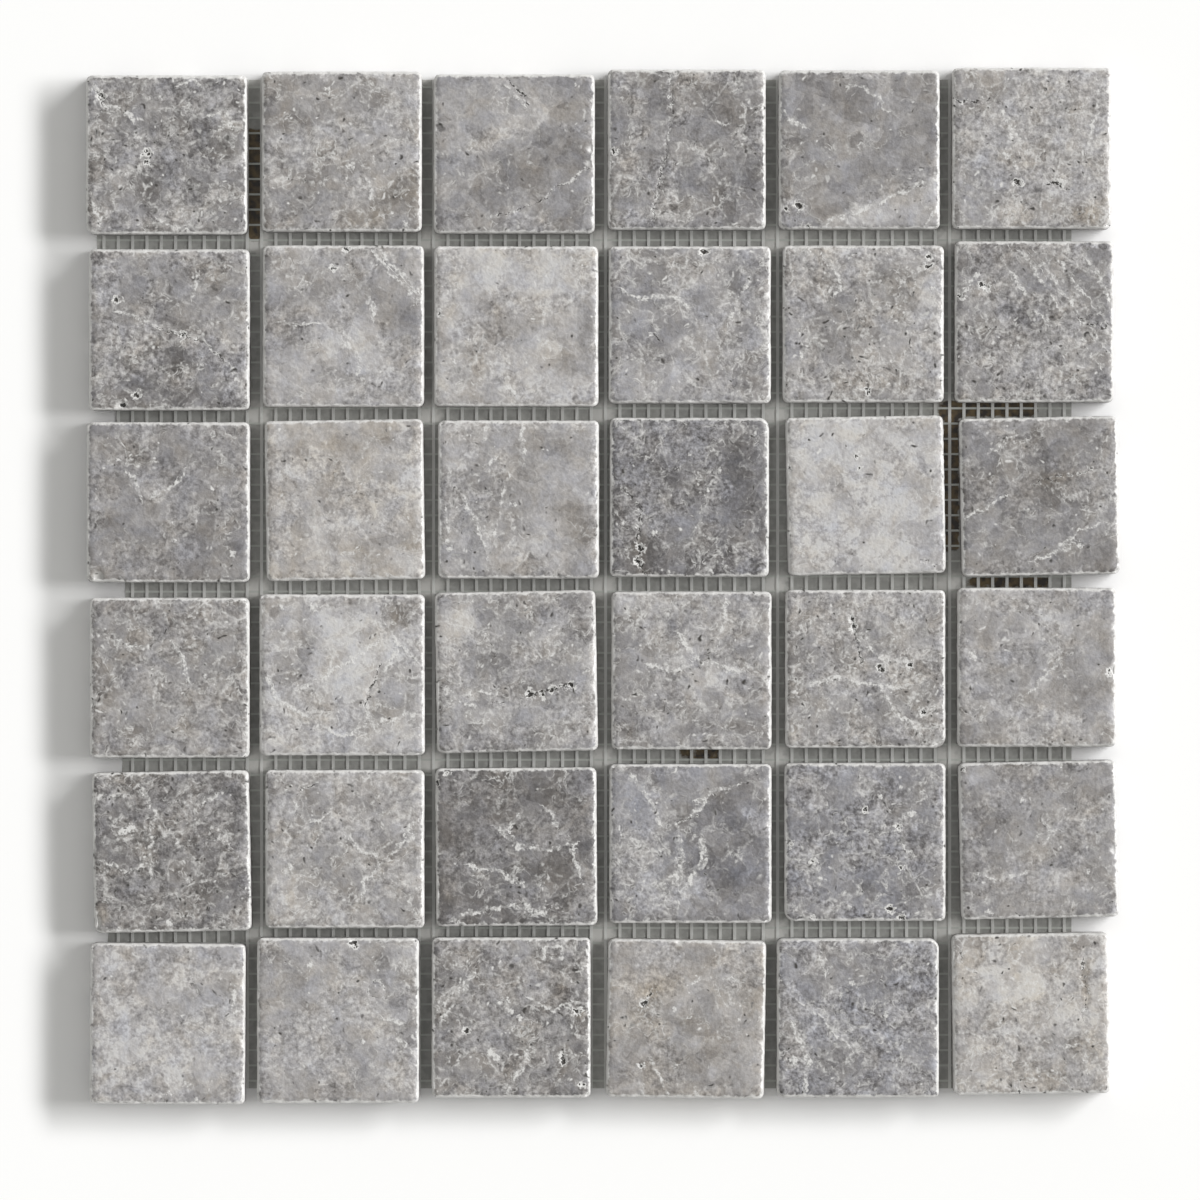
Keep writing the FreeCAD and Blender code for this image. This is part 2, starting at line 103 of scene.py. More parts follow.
# Marks that can be told apart on each tile: kind, size in millimetres, and points.
# A vein or crack runs through its points, and its size is its width.
# A spot (a white grain), a pit and a chip lie round their points, and their size is a radius.
# A patch (pale, dark, warm, blue, brown, olive or net) is soft, spreads along its points, and has a radius.
# A lump has its outline for points, and instead of a size how much lighter it is than the tile.
MARKS = {
    (1, 1): [
        ("lump", -0.08, [(122, 80), (150, 84), (160, 100), (150, 112), (128, 106)]),
        ("lump", -0.08, [(100, 108), (120, 112), (130, 124), (124, 138), (100, 140), (88, 126)]),
        ("lump", -0.07, [(130, 170), (168, 176), (165, 205), (140, 215), (120, 196)]),
        ("lump", -0.05, [(205, 135), (240, 125), (242, 160), (215, 165)]),
        ("lump", -0.07, [(207, 205), (240, 190), (242, 228), (205, 232)]),
        ("vein", 0.7, [(91, 84), (103, 104), (122, 108), (132, 120), (146, 150)]),
        ("vein", 0.5, [(180, 86), (192, 80), (204, 88), (216, 82)]),
        ("vein", 0.5, [(208, 115), (229, 108), (231, 125), (215, 128)]),
        ("vein", 0.6, [(158, 218), (168, 226), (187, 232)]),
        ("vein", 0.5, [(92, 196), (96, 212), (101, 226)]), ("pale", 3.2, [(146, 154)]),
        ("pale", 2.6, [(96, 90)]), ("pale", 2.2, [(215, 98), (226, 120)]), ("pit", 0.6, [(148, 152)]),
        ("pit", 0.4, [(144, 155)]), ("pit", 0.4, [(148, 161)]), ("pit", 0.8, [(101, 96)]),
        ("crack", 0.5, [(95, 92), (104, 102)]), ("dark", 5.0, [(185, 96)]),
        ("dark", 5.0, [(112, 130), (118, 150)]), ("dark", 4.0, [(205, 150)]),
        ("net", 8.0, [(150, 150), (130, 110)]),
    ],
    (1, 2): [
        ("lump", -0.06, [(262, 110), (300, 92), (380, 80), (400, 84), (380, 110), (330, 120), (280, 132),
                         (262, 140)]),
        ("lump", -0.04, [(290, 170), (338, 165), (345, 210), (300, 225), (270, 200)]),
        ("lump", -0.08, [(345, 215), (385, 190), (405, 175), (418, 190), (380, 215), (360, 228)]),
        ("lump", 0.06, [(358, 158), (400, 168), (396, 185), (368, 188)]), ("spot", 0.7, [(328, 89)]),
        ("spot", 0.9, [(351, 165)]), ("vein", 0.4, [(362, 178), (368, 184), (372, 196)]),
        ("brown", 4.5, [(413, 184), (386, 200), (361, 218)]), ("spot", 0.5, [(392, 215)]),
        ("spot", 0.6, [(406, 225)]), ("warm", 7.0, [(300, 90)]), ("pale", 5.0, [(300, 150), (340, 118)]),
        ("dark", 3.0, [(352, 168)]),
    ],
    (1, 3): [
        ("lump", 0.1, [(436, 80), (480, 82), (520, 90), (540, 112), (530, 126), (505, 132), (470, 128),
                       (440, 120)]),
        ("lump", -0.07, [(505, 140), (560, 128), (590, 140), (580, 200), (530, 215), (510, 190)]),
        ("lump", -0.04, [(545, 80), (588, 80), (590, 128), (560, 122), (548, 100)]),
        ("crack", 0.6, [(506, 78), (517, 88), (529, 101)]),
        ("vein", 0.6, [(500, 82), (512, 92), (524, 104)]),
        ("pale", 3.0, [(536, 115), (518, 126), (501, 132)]),
        ("crack", 0.35, [(498, 215), (524, 208), (548, 196), (568, 182), (587, 170)]),
        ("warm", 3.5, [(529, 173)]), ("chip", 1.4, [(591, 149)]), ("chip", 1.0, [(588, 163)]),
    ],
    (1, 4): [
        ("lump", -0.07, [(608, 90), (630, 90), (632, 150), (610, 155)]),
        ("lump", -0.03, [(675, 150), (700, 150), (710, 225), (680, 228)]),
        ("lump", -0.08, [(725, 185), (762, 185), (762, 225), (720, 225)]),
        ("lump", -0.03, [(690, 80), (725, 85), (730, 120), (695, 125)]),
        ("crack", 0.4, [(671, 80), (671, 115), (664, 163), (657, 194), (653, 225)]),
        ("blue", 4.0, [(621, 122)]), ("blue", 4.0, [(683, 177)]), ("blue", 4.0, [(738, 190)]),
        ("brown", 3.5, [(631, 156)]), ("warm", 3.5, [(697, 84)]), ("warm", 3.5, [(738, 160)]),
        ("pit", 0.5, [(615, 151)]),
    ],
    (1, 5): [
        ("lump", -0.05, [(790, 75), (935, 78), (935, 170), (850, 200), (810, 222), (795, 190),
                         (785, 120)]),
        ("lump", 0.12, [(826, 228), (870, 207), (905, 194), (938, 180), (938, 228)]),
        ("vein", 0.5, [(782, 111), (792, 120), (804, 127)]),
        ("vein", 0.5, [(853, 85), (877, 94), (884, 108), (894, 116)]),
        ("vein", 0.5, [(829, 223), (870, 206), (908, 190), (939, 177)]), ("pit", 0.9, [(799, 206)]),
        ("pit", 0.5, [(784, 210)]), ("pit", 0.6, [(806, 227)]), ("pale", 4.0, [(860, 218), (925, 192)]),
        ("vein", 0.4, [(924, 206), (934, 215), (928, 224)]),
    ],
    (1, 6): [
        ("lump", -0.05, [(955, 70), (1015, 72), (1010, 98), (955, 100)]),
        ("lump", -0.04, [(965, 165), (985, 185), (1000, 225), (955, 228), (955, 185)]),
        ("lump", -0.07, [(1040, 200), (1062, 195), (1055, 215), (1035, 222)]),
        ("crack", 0.6, [(952, 97), (964, 100), (976, 101), (990, 97)]), ("pit", 0.8, [(1018, 182)]),
        ("crack", 1.0, [(1050, 184), (1058, 184), (1068, 187)]), ("spot", 1.2, [(1060, 182)]),
        ("blue", 6.0, [(987, 180), (985, 212)]), ("dark", 3.0, [(963, 146)]),
        ("vein", 0.4, [(1100, 91), (1094, 120), (1087, 149)]), ("chip", 1.4, [(1111, 150)]),
        ("chip", 1.2, [(1111, 190)]), ("net", 9.0, [(1060, 120)]), ("brown", 3.0, [(1085, 215)]),
        ("vein", 0.5, [(1002, 112), (1012, 132), (1006, 150), (1018, 168)]),
    ],
    (2, 1): [
        ("lump", 0.04, [(205, 275), (245, 268), (246, 330), (215, 335), (200, 305)]),
        ("lump", -0.13, [(163, 350), (185, 345), (192, 365), (180, 378), (162, 370)]),
        ("lump", -0.12, [(90, 385), (110, 380), (112, 405), (92, 408)]),
        ("lump", -0.06, [(175, 390), (215, 385), (215, 408), (170, 408)]),
        ("vein", 0.6, [(118, 314), (139, 316), (160, 328), (184, 333), (205, 342), (225, 362),
                       (236, 376)]),
        ("crack", 0.4, [(158, 326), (172, 332), (188, 336), (205, 343), (222, 359)]),
        ("pit", 0.7, [(184, 333)]), ("vein", 0.6, [(198, 275), (196, 284), (193, 297)]),
        ("dark", 4.0, [(180, 362)]), ("pit", 0.6, [(118, 300)]), ("pit", 0.9, [(122, 404)]),
        ("pit", 0.7, [(137, 395)]), ("chip", 1.8, [(120, 406)]), ("warm", 5.0, [(160, 350)]),
        ("warm", 6.0, [(215, 290)]), ("blue", 5.0, [(210, 366)]), ("blue", 5.0, [(120, 380)]),
    ],
    (2, 2): [
        ("lump", 0.05, [(300, 345), (345, 350), (345, 400), (265, 400), (265, 350)]),
        ("lump", -0.06, [(385, 255), (420, 300), (420, 330), (380, 320), (365, 290)]),
        ("vein", 0.5, [(380, 252), (398, 270), (416, 290)]),
        ("vein", 0.35, [(374, 254), (392, 273), (412, 294)]),
        ("vein", 0.35, [(282, 323), (300, 326), (316, 323)]), ("blue", 3.5, [(347, 328)]),
        ("vein", 0.5, [(345, 336), (350, 347), (356, 352)]),
        ("vein", 0.4, [(368, 297), (375, 307), (374, 318)]),
        ("vein", 0.4, [(358, 352), (361, 362), (359, 372)]), ("pit", 0.5, [(347, 250)]),
        ("dark", 8.0, [(300, 290), (290, 320)]), ("dark", 6.0, [(400, 310)]), ("pit", 0.4, [(333, 268)]),
    ],
    (2, 3): [
        ("lump", 0.07, [(505, 255), (575, 258), (580, 290), (520, 300), (505, 280)]),
        ("lump", -0.03, [(500, 320), (580, 310), (585, 380), (520, 385)]), ("pale", 5.0, [(546, 266)]),
        ("pit", 0.6, [(439, 312)]), ("spot", 0.6, [(453, 362)]), ("spot", 0.5, [(467, 340)]),
        ("pale", 5.0, [(530, 290)]), ("vein", 0.5, [(506, 384), (512, 394)]),
    ],
    (2, 4): [
        ("lump", -0.12, [(630, 262), (665, 262), (668, 285), (640, 290), (628, 275)]),
        ("lump", -0.04, [(700, 262), (745, 262), (735, 300), (705, 315), (695, 290)]),
        ("lump", -0.07, [(735, 310), (760, 300), (762, 325), (735, 335)]),
        ("lump", -0.02, [(620, 310), (655, 300), (655, 335), (625, 340)]),
        ("lump", 0.05, [(625, 360), (680, 365), (680, 398), (620, 398)]), ("pit", 0.9, [(705, 250)]),
        ("chip", 1.6, [(706, 247)]), ("vein", 0.5, [(752, 276), (738, 300), (728, 321)]),
        ("blue", 5.0, [(645, 321)]), ("crack", 0.5, [(652, 335), (662, 342)]),
        ("brown", 3.0, [(707, 366)]), ("vein", 0.35, [(620, 290), (640, 300), (668, 296), (690, 306)]),
    ],
    (2, 5): [
        ("lump", -0.1, [(887, 262), (920, 262), (928, 275), (905, 285), (880, 280)]),
        ("lump", -0.1, [(862, 285), (905, 282), (915, 300), (900, 310), (870, 308)]),
        ("lump", -0.07, [(812, 335), (860, 330), (905, 325), (912, 345), (905, 380), (870, 365),
                         (830, 365)]),
        ("lump", -0.04, [(785, 345), (800, 350), (800, 395), (785, 390)]),
        ("lump", 0.1, [(905, 285), (930, 270), (940, 290), (925, 305)]), ("dark", 5.0, [(887, 294)]),
        ("dark", 5.0, [(812, 340), (855, 345)]), ("pit", 0.6, [(929, 256)]), ("pit", 0.5, [(928, 266)]),
        ("pit", 0.7, [(866, 392)]), ("spot", 0.7, [(935, 289)]),
        ("vein", 0.4, [(801, 318), (798, 336), (801, 356)]), ("blue", 4.5, [(792, 350), (796, 380)]),
        ("net", 9.0, [(850, 280), (900, 330)]), ("net", 6.0, [(840, 378)]), ("pale", 3.0, [(905, 262)]),
        ("vein", 0.5, [(826, 262), (840, 276), (836, 292)]),
    ],
    (2, 6): [
        ("vein", 0.4, [(1085, 255), (1100, 280), (1110, 300)]),
        ("lump", -0.06, [(1085, 250), (1110, 250), (1112, 290), (1098, 270)]),
        ("vein", 0.3, [(1021, 252), (1048, 290), (1075, 330), (1100, 366)]),
        ("vein", 0.3, [(1034, 252), (1060, 288), (1088, 326), (1108, 352)]),
        ("vein", 0.3, [(1052, 252), (1076, 286), (1106, 322)]),
        ("vein", 0.3, [(1004, 262), (1026, 296), (1046, 324)]), ("pit", 0.8, [(987, 287)]),
        ("pit", 0.5, [(982, 284)]), ("pit", 0.6, [(961, 297)]),
        ("crack", 0.9, [(1083, 321), (1092, 327), (1104, 326)]),
        ("net", 10.0, [(1000, 340), (1070, 350)]), ("brown", 2.5, [(962, 397)]),
        ("vein", 0.5, [(958, 296), (968, 288), (976, 276)]),
    ],
    (3, 1): [
        ("lump", -0.04, [(200, 455), (240, 470), (225, 485), (200, 480)]),
        ("lump", -0.05, [(200, 482), (215, 500), (215, 540), (205, 560), (195, 540)]),
        ("spot", 0.5, [(212, 488)]), ("spot", 0.5, [(236, 517)]),
        ("vein", 0.5, [(184, 470), (174, 487), (153, 494)]), ("spot", 0.5, [(174, 521)]),
        ("spot", 0.5, [(175, 539)]), ("spot", 0.9, [(232, 554)]), ("brown", 2.5, [(101, 573)]),
        ("chip", 2.0, [(98, 577)]), ("vein", 0.35, [(118, 460), (132, 476), (140, 500)]),
    ],
    (3, 2): [
        ("lump", -0.05, [(300, 440), (340, 430), (390, 430), (400, 455), (370, 470), (330, 455)]),
        ("lump", -0.06, [(300, 540), (340, 535), (400, 545), (395, 575), (340, 570), (310, 560)]),
        ("lump", -0.05, [(400, 545), (415, 540), (422, 560), (415, 578)]),
        ("pale", 2, [(275, 447), (327, 570)]), ("olive", 1.5, [(265, 424)]), ("blue", 4.0, [(296, 514)]),
        ("blue", 4.0, [(399, 511)]), ("dark", 5.0, [(385, 552)]), ("pale", 4.0, [(310, 470)]),
        ("warm", 8.0, [(345, 470)]), ("warm", 6.0, [(300, 550)]),
    ],
    (3, 3): [
        ("lump", -0.08, [(465, 460), (490, 455), (495, 480), (485, 495), (468, 485)]),
        ("lump", -0.02, [(505, 430), (590, 430), (590, 560), (560, 570), (520, 545), (510, 500)]),
        ("lump", -0.05, [(460, 515), (480, 510), (490, 540), (475, 550), (460, 540)]),
        ("vein", 0.4, [(445, 510), (448, 530), (445, 540)]), ("pale", 3.5, [(456, 466)]),
        ("net", 7.0, [(472, 500), (474, 545)]), ("vein", 0.7, [(522, 428), (523, 442), (525, 456)]),
        ("vein", 0.5, [(484, 428), (484, 440)]), ("vein", 0.4, [(486, 466), (496, 460)]),
        ("spot", 0.6, [(514, 506)]), ("spot", 0.6, [(449, 549)]), ("warm", 6.0, [(570, 525)]),
        ("vein", 0.5, [(462, 496), (476, 520), (490, 560)]),
        ("vein", 0.4, [(508, 476), (500, 510), (492, 545)]),
    ],
    (3, 4): [
        ("spot", 0.6, [(655, 532)]), ("spot", 0.5, [(623, 523)]), ("spot", 0.5, [(722, 470)]),
        ("spot", 0.5, [(708, 490)]), ("spot", 0.5, [(668, 573)]), ("spot", 0.6, [(712, 573)]),
        ("crack", 0.7, [(621, 487), (632, 498), (641, 511), (640, 530), (640, 545), (636, 559),
                        (643, 573)]), ("brown", 3.0, [(638, 545), (640, 570)]),
        ("pit", 0.8, [(640, 548)]), ("pit", 0.7, [(637, 562)]), ("spot", 0.5, [(691, 456)]),
        ("chip", 1.6, [(768, 552)]), ("pale", 1.5, [(633, 508)]), ("dark", 7.0, [(740, 490), (740, 550)]),
    ],
    (3, 5): [
        ("pit", 0.3, [(858, 455)]), ("pit", 0.3, [(861, 468)]), ("pit", 0.35, [(789, 468)]),
        ("blue", 3.0, [(860, 470)]), ("crack", 0.25, [(922, 563), (932, 563), (941, 561)]),
    ],
    (3, 6): [
        ("lump", -0.07, [(965, 440), (1000, 435), (1015, 450), (1000, 465), (970, 465)]),
        ("lump", -0.06, [(1030, 425), (1075, 430), (1110, 440), (1105, 465), (1060, 460), (1035, 445)]),
        ("lump", -0.08, [(1015, 520), (1060, 515), (1060, 545), (1030, 555), (1010, 545)]),
        ("lump", -0.03, [(975, 525), (1010, 530), (1015, 560), (975, 560)]),
        ("vein", 0.5, [(1035, 560), (1060, 550), (1080, 545)]),
        ("crack", 0.35, [(1038, 482), (1066, 475), (1094, 469)]),
        ("brown", 1.8, [(1045, 480), (1090, 470)]), ("vein", 0.5, [(966, 518), (984, 508), (1004, 497)]),
        ("vein", 0.4, [(1060, 548), (1080, 530), (1104, 524)]),
        ("vein", 0.35, [(990, 452), (1006, 440), (1030, 432)]),
    ],
    (4, 1): [
        ("lump", -0.05, [(215, 635), (235, 640), (230, 655), (215, 650)]),
        ("lump", 0.02, [(170, 655), (210, 650), (215, 670), (185, 690), (160, 670)]),
        ("lump", 0.03, [(130, 700), (170, 705), (175, 735), (120, 740), (110, 720)]),
        ("spot", 0.5, [(187, 680)]), ("spot", 0.5, [(165, 680)]), ("chip", 1.6, [(91, 723)]),
        ("chip", 1.3, [(91, 703)]), ("spot", 0.6, [(205, 678)]), ("pale", 4.0, [(205, 700)]),
        ("vein", 0.5, [(118, 640), (134, 650), (150, 646)]),
        ("vein", 0.4, [(172, 640), (184, 660), (190, 684)]), ("brown", 2.0, [(94, 725)]),
    ],
    (4, 2): [
        ("lump", -0.05, [(262, 600), (300, 600), (300, 640), (262, 645)]),
        ("lump", -0.1, [(300, 600), (322, 620), (318, 650), (300, 680), (285, 690), (275, 670),
                        (295, 640)]),
        ("lump", 0.08, [(325, 610), (375, 600), (378, 640), (400, 650), (385, 670), (362, 700),
                        (315, 700), (308, 660)]),
        ("lump", -0.06, [(343, 610), (362, 615), (365, 635), (350, 638)]),
        ("lump", -0.12, [(388, 605), (402, 605), (405, 625), (398, 640), (388, 630)]),
        ("lump", -0.06, [(378, 690), (395, 665), (420, 665), (422, 712), (395, 720), (370, 718)]),
        ("lump", -0.06, [(345, 735), (375, 722), (420, 712), (420, 745), (350, 750)]),
        ("pale", 6.0, [(345, 640), (375, 655)]), ("pale", 3.5, [(278, 657)]), ("pale", 4.0, [(400, 690)]),
        ("crack", 0.7, [(380, 668), (375, 682), (370, 689), (366, 703)]),
        ("vein", 0.6, [(366, 703), (368, 716), (374, 726)]),
        ("vein", 0.6, [(385, 668), (392, 658), (399, 647)]),
        ("vein", 0.5, [(387, 627), (400, 646), (416, 661)]),
        ("vein", 0.6, [(268, 678), (279, 703), (316, 720), (337, 734), (354, 734), (375, 722),
                       (413, 715)]), ("olive", 2.5, [(396, 616)]), ("dark", 5.0, [(296, 668)]),
        ("spot", 0.6, [(282, 606)]), ("spot", 1.0, [(313, 608)]),
        ("vein", 0.5, [(300, 690), (322, 676), (352, 660), (380, 640)]),
    ],
    (4, 3): [
        ("lump", 0.12, [(440, 600), (468, 598), (480, 625), (462, 640), (448, 635), (440, 620)]),
        ("lump", -0.08, [(472, 600), (520, 598), (515, 615), (530, 628), (505, 640), (480, 630)]),
        ("lump", -0.08, [(470, 645), (500, 640), (510, 655), (505, 675), (480, 680), (462, 668)]),
        ("pale", 2.2, [(448, 650), (458, 658)]), ("vein", 0.9, [(445, 690), (460, 700), (476, 708)]),
        ("dark", 5.0, [(508, 613)]), ("dark", 5.0, [(491, 661)]), ("pale", 3.5, [(463, 620)]),
        ("pale", 5.0, [(536, 644)]), ("pale", 3.0, [(589, 654)]),
        ("crack", 0.6, [(523, 697), (536, 694), (553, 689), (572, 684)]), ("spot", 1.2, [(529, 693)]),
        ("spot", 1.2, [(553, 688)]), ("pit", 0.8, [(529, 695)]), ("pit", 0.6, [(543, 695)]),
        ("pit", 0.6, [(553, 689)]), ("pit", 0.7, [(570, 685)]), ("crack", 0.4, [(495, 703), (502, 703)]),
        ("dark", 2.5, [(546, 609)]), ("vein", 0.4, [(452, 700), (474, 690), (496, 694)]),
    ],
    (4, 4): [
        ("lump", 0.08, [(680, 645), (698, 648), (700, 665), (690, 672), (680, 665)]),
        ("lump", -0.07, [(615, 680), (650, 675), (660, 685), (630, 715), (612, 720)]),
        ("lump", -0.02, [(612, 640), (650, 640), (665, 660), (640, 680), (612, 675)]),
        ("lump", -0.05, [(725, 705), (768, 700), (768, 735), (720, 735), (715, 720)]),
        ("vein", 0.6, [(676, 634), (688, 646), (698, 661)]),
        ("vein", 0.5, [(724, 603), (724, 622), (719, 644)]), ("dark", 4.0, [(630, 730), (665, 700)]),
        ("pale", 5.0, [(710, 690), (732, 705)]),
        ("vein", 0.5, [(650, 664), (680, 670), (710, 662), (740, 672)]), ("pale", 4.0, [(640, 640)]),
        ("net", 8.0, [(690, 640), (720, 670)]),
    ],
    (4, 5): [
        ("lump", -0.03, [(790, 700), (825, 690), (850, 700), (850, 715), (820, 735), (790, 730)]),
        ("lump", -0.1, [(835, 640), (850, 645), (858, 665), (845, 672), (830, 660)]),
        ("lump", -0.06, [(800, 640), (828, 650), (825, 665), (800, 660)]),
        ("lump", -0.07, [(895, 690), (930, 680), (940, 700), (915, 720), (880, 725), (875, 705)]),
        ("lump", -0.06, [(885, 738), (925, 738), (920, 750), (885, 750)]),
        ("crack", 0.6, [(850, 618), (853, 628), (857, 645), (860, 661)]), ("spot", 1.5, [(881, 667)]),
        ("pit", 0.6, [(850, 621)]), ("pit", 0.7, [(853, 628)]), ("pit", 0.9, [(881, 667)]),
        ("pit", 0.6, [(910, 665)]),
        ("vein", 1.0, [(794, 692), (812, 684), (835, 678), (864, 682), (894, 689)]),
        ("pit", 0.7, [(925, 713)]), ("chip", 2.6, [(940, 746)]), ("pale", 3.5, [(820, 684), (860, 688)]),
        ("pale", 3.0, [(800, 605)]), ("vein", 0.6, [(858, 640), (872, 652), (892, 660), (914, 664)]),
        ("net", 8.0, [(880, 680), (915, 715)]), ("vein", 0.5, [(884, 690), (896, 712), (918, 730)]),
    ],
    (4, 6): [
        ("lump", 0.06, [(1050, 600), (1075, 605), (1060, 635)]),
        ("lump", -0.06, [(1028, 720), (1045, 718), (1045, 735), (1030, 735)]),
        ("lump", -0.05, [(960, 725), (985, 718), (990, 740), (965, 748)]),
        ("lump", -0.03, [(1060, 650), (1110, 640), (1105, 700), (1060, 700)]),
        ("vein", 0.4, [(1060, 655), (1050, 670), (1030, 690)]), ("spot", 0.9, [(972, 656)]),
        ("pale", 2.6, [(975, 656)]), ("chip", 1.4, [(1114, 670)]), ("chip", 1.4, [(1117, 689)]),
        ("pit", 0.6, [(1110, 672)]), ("pale", 6.0, [(1040, 620)]), ("dark", 6.0, [(1010, 690)]),
        ("dark", 4.0, [(1080, 700)]),
    ],
    (5, 1): [
        ("lump", -0.08, [(103, 805), (125, 803), (128, 820), (125, 840), (105, 840), (100, 820)]),
        ("lump", -0.05, [(222, 825), (245, 818), (245, 845), (232, 840)]),
        ("lump", -0.04, [(175, 855), (215, 845), (215, 865), (200, 890), (170, 895), (165, 880)]),
        ("lump", -0.08, [(190, 885), (210, 880), (205, 900), (190, 900)]),
        ("lump", -0.04, [(205, 895), (240, 872), (240, 910), (210, 910)]),
        ("lump", -0.12, [(170, 900), (190, 905), (196, 920), (180, 920)]),
        ("lump", -0.06, [(92, 835), (130, 842), (135, 860), (110, 870), (92, 860)]),
        ("spot", 0.9, [(122, 832), (130, 828)]), ("vein", 0.7, [(152, 842), (148, 858), (150, 875)]),
        ("vein", 0.7, [(94, 796), (110, 796), (125, 796)]), ("blue", 4.0, [(111, 823)]),
        ("pale", 3.0, [(205, 810)]), ("vein", 0.7, [(208, 827), (218, 836), (229, 841)]),
        ("olive", 2.5, [(101, 917)]), ("chip", 2.0, [(96, 922)]), ("spot", 0.9, [(170, 923)]),
        ("net", 14.0, [(140, 830), (190, 870)]), ("vein", 0.6, [(140, 790), (156, 812), (150, 836)]),
        ("vein", 0.6, [(166, 800), (190, 806), (214, 796)]),
        ("vein", 0.5, [(104, 862), (128, 872), (150, 862)]), ("brown", 3.0, [(150, 850)]),
    ],
    (5, 2): [
        ("lump", -0.09, [(303, 790), (315, 788), (327, 797), (330, 808), (322, 820), (308, 820)]),
        ("lump", -0.06, [(380, 825), (400, 825), (400, 840), (390, 855), (380, 850)]),
        ("lump", -0.02, [(340, 870), (365, 870), (368, 890), (358, 905), (340, 895)]),
        ("lump", -0.04, [(385, 900), (420, 895), (420, 925), (390, 925)]),
        ("vein", 0.6, [(405, 833), (410, 825), (415, 822)]), ("olive", 0.8, [(381, 871)]),
        ("dark", 3.0, [(313, 803)]), ("crack", 0.5, [(299, 793), (306, 786), (313, 784)]),
        ("vein", 0.6, [(296, 806), (304, 820), (318, 822), (328, 812)]),
        ("vein", 0.6, [(385, 861), (398, 846), (413, 837)]),
        ("vein", 0.5, [(361, 896), (364, 882), (373, 872)]),
        ("vein", 0.4, [(288, 866), (292, 872), (298, 880)]),
        ("vein", 0.5, [(346, 836), (360, 850), (384, 860)]), ("brown", 2.5, [(340, 800)]),
    ],
    (5, 3): [
        ("lump", -0.08, [(458, 805), (475, 800), (480, 815), (475, 825), (460, 820)]),
        ("lump", -0.05, [(495, 865), (560, 860), (580, 870), (575, 885), (520, 890), (480, 885)]),
        ("lump", -0.1, [(480, 900), (505, 905), (500, 915), (480, 918)]),
        ("lump", -0.1, [(440, 895), (455, 895), (455, 910), (445, 915)]),
        ("lump", 0, [(520, 775), (550, 770), (560, 800), (530, 810)]),
        ("vein", 0.6, [(497, 828), (505, 830), (513, 825), (517, 818)]),
        ("vein", 0.6, [(525, 902), (530, 912), (545, 915), (552, 925)]),
        ("vein", 0.6, [(570, 840), (575, 860), (580, 875)]), ("pale", 2, [(545, 884), (551, 893)]),
        ("pit", 0.5, [(446, 774)]), ("dark", 4.0, [(470, 811)]),
        ("vein", 0.5, [(546, 806), (553, 813), (556, 824)]), ("spot", 0.6, [(474, 867)]),
        ("vein", 0.7, [(455, 920), (480, 910), (511, 906), (540, 912)]), ("olive", 2.5, [(446, 896)]),
        ("pit", 0.6, [(461, 926)]), ("pit", 0.6, [(437, 784)]), ("chip", 1.8, [(597, 830)]),
        ("chip", 1.5, [(597, 872)]), ("vein", 0.5, [(500, 830), (520, 846), (548, 850), (575, 842)]),
        ("net", 7.0, [(520, 890)]), ("vein", 0.5, [(470, 866), (500, 872), (522, 884)]),
    ],
    (5, 4): [
        ("lump", -0.15, [(716, 800), (735, 805), (750, 830), (768, 845), (770, 915), (740, 920),
                         (715, 890), (705, 865), (700, 820)]),
        ("lump", -0.1, [(665, 905), (700, 898), (740, 905), (765, 918), (680, 925)]),
        ("lump", -0.1, [(667, 848), (675, 846), (676, 875), (670, 893), (660, 890), (662, 865)]),
        ("lump", -0.04, [(660, 775), (700, 780), (705, 800), (690, 815), (660, 810)]),
        ("lump", -0.02, [(612, 772), (645, 772), (648, 820), (612, 830)]),
        ("pale", 2.6, [(742, 805), (752, 826)]), ("warm", 3, [(712, 778)]), ("brown", 1.5, [(625, 908)]),
        ("crack", 0.5, [(676, 824), (686, 820), (697, 818)]),
        ("vein", 1.2, [(678, 839), (680, 858), (678, 875), (667, 896)]),
        ("vein", 1.3, [(702, 841), (705, 852), (700, 866), (691, 879), (683, 896)]),
        ("net", 8.0, [(630, 850), (640, 905)]), ("pale", 6.0, [(632, 860), (640, 900)]),
        ("vein", 0.5, [(697, 800), (716, 790), (740, 784)]),
        ("vein", 0.5, [(690, 818), (704, 806), (712, 790)]), ("blue", 9.0, [(735, 860)]),
        ("blue", 7.0, [(640, 800)]), ("vein", 0.4, [(632, 776), (650, 800), (662, 822)]),
    ],
    (5, 5): [
        ("pit", 0.4, [(812, 862)]), ("pit", 0.4, [(790, 845)]), ("pit", 0.4, [(901, 867)]),
        ("spot", 0.7, [(912, 813)]), ("spot", 0.6, [(880, 797)]), ("spot", 0.6, [(922, 790)]),
        ("spot", 0.8, [(822, 879)]), ("vein", 0.4, [(905, 845), (915, 858)]), ("pit", 0.6, [(897, 829)]),
        ("pit", 0.8, [(891, 909)]), ("pit", 0.7, [(902, 918)]), ("pit", 0.5, [(813, 918)]),
        ("pit", 0.5, [(866, 810)]), ("blue", 12.0, [(830, 850), (880, 880)]),
    ],
    (5, 6): [
        ("lump", -0.07, [(1095, 825), (1115, 815), (1115, 900), (1090, 910), (1085, 860)]),
        ("lump", -0.03, [(1010, 790), (1018, 800), (1015, 830), (1005, 830)]),
        ("vein", 0.6, [(1045, 840), (1050, 832), (1058, 830)]), ("chip", 1.2, [(1114, 850)]),
        ("spot", 0.6, [(1022, 800)]), ("spot", 0.6, [(1087, 873)]), ("spot", 0.7, [(990, 913)]),
        ("pit", 0.4, [(962, 768)]), ("dark", 6.0, [(1000, 830)]), ("pale", 5.0, [(1060, 880)]),
        ("vein", 0.35, [(975, 872), (1000, 880), (1024, 872)]),
    ],
    (6, 1): [
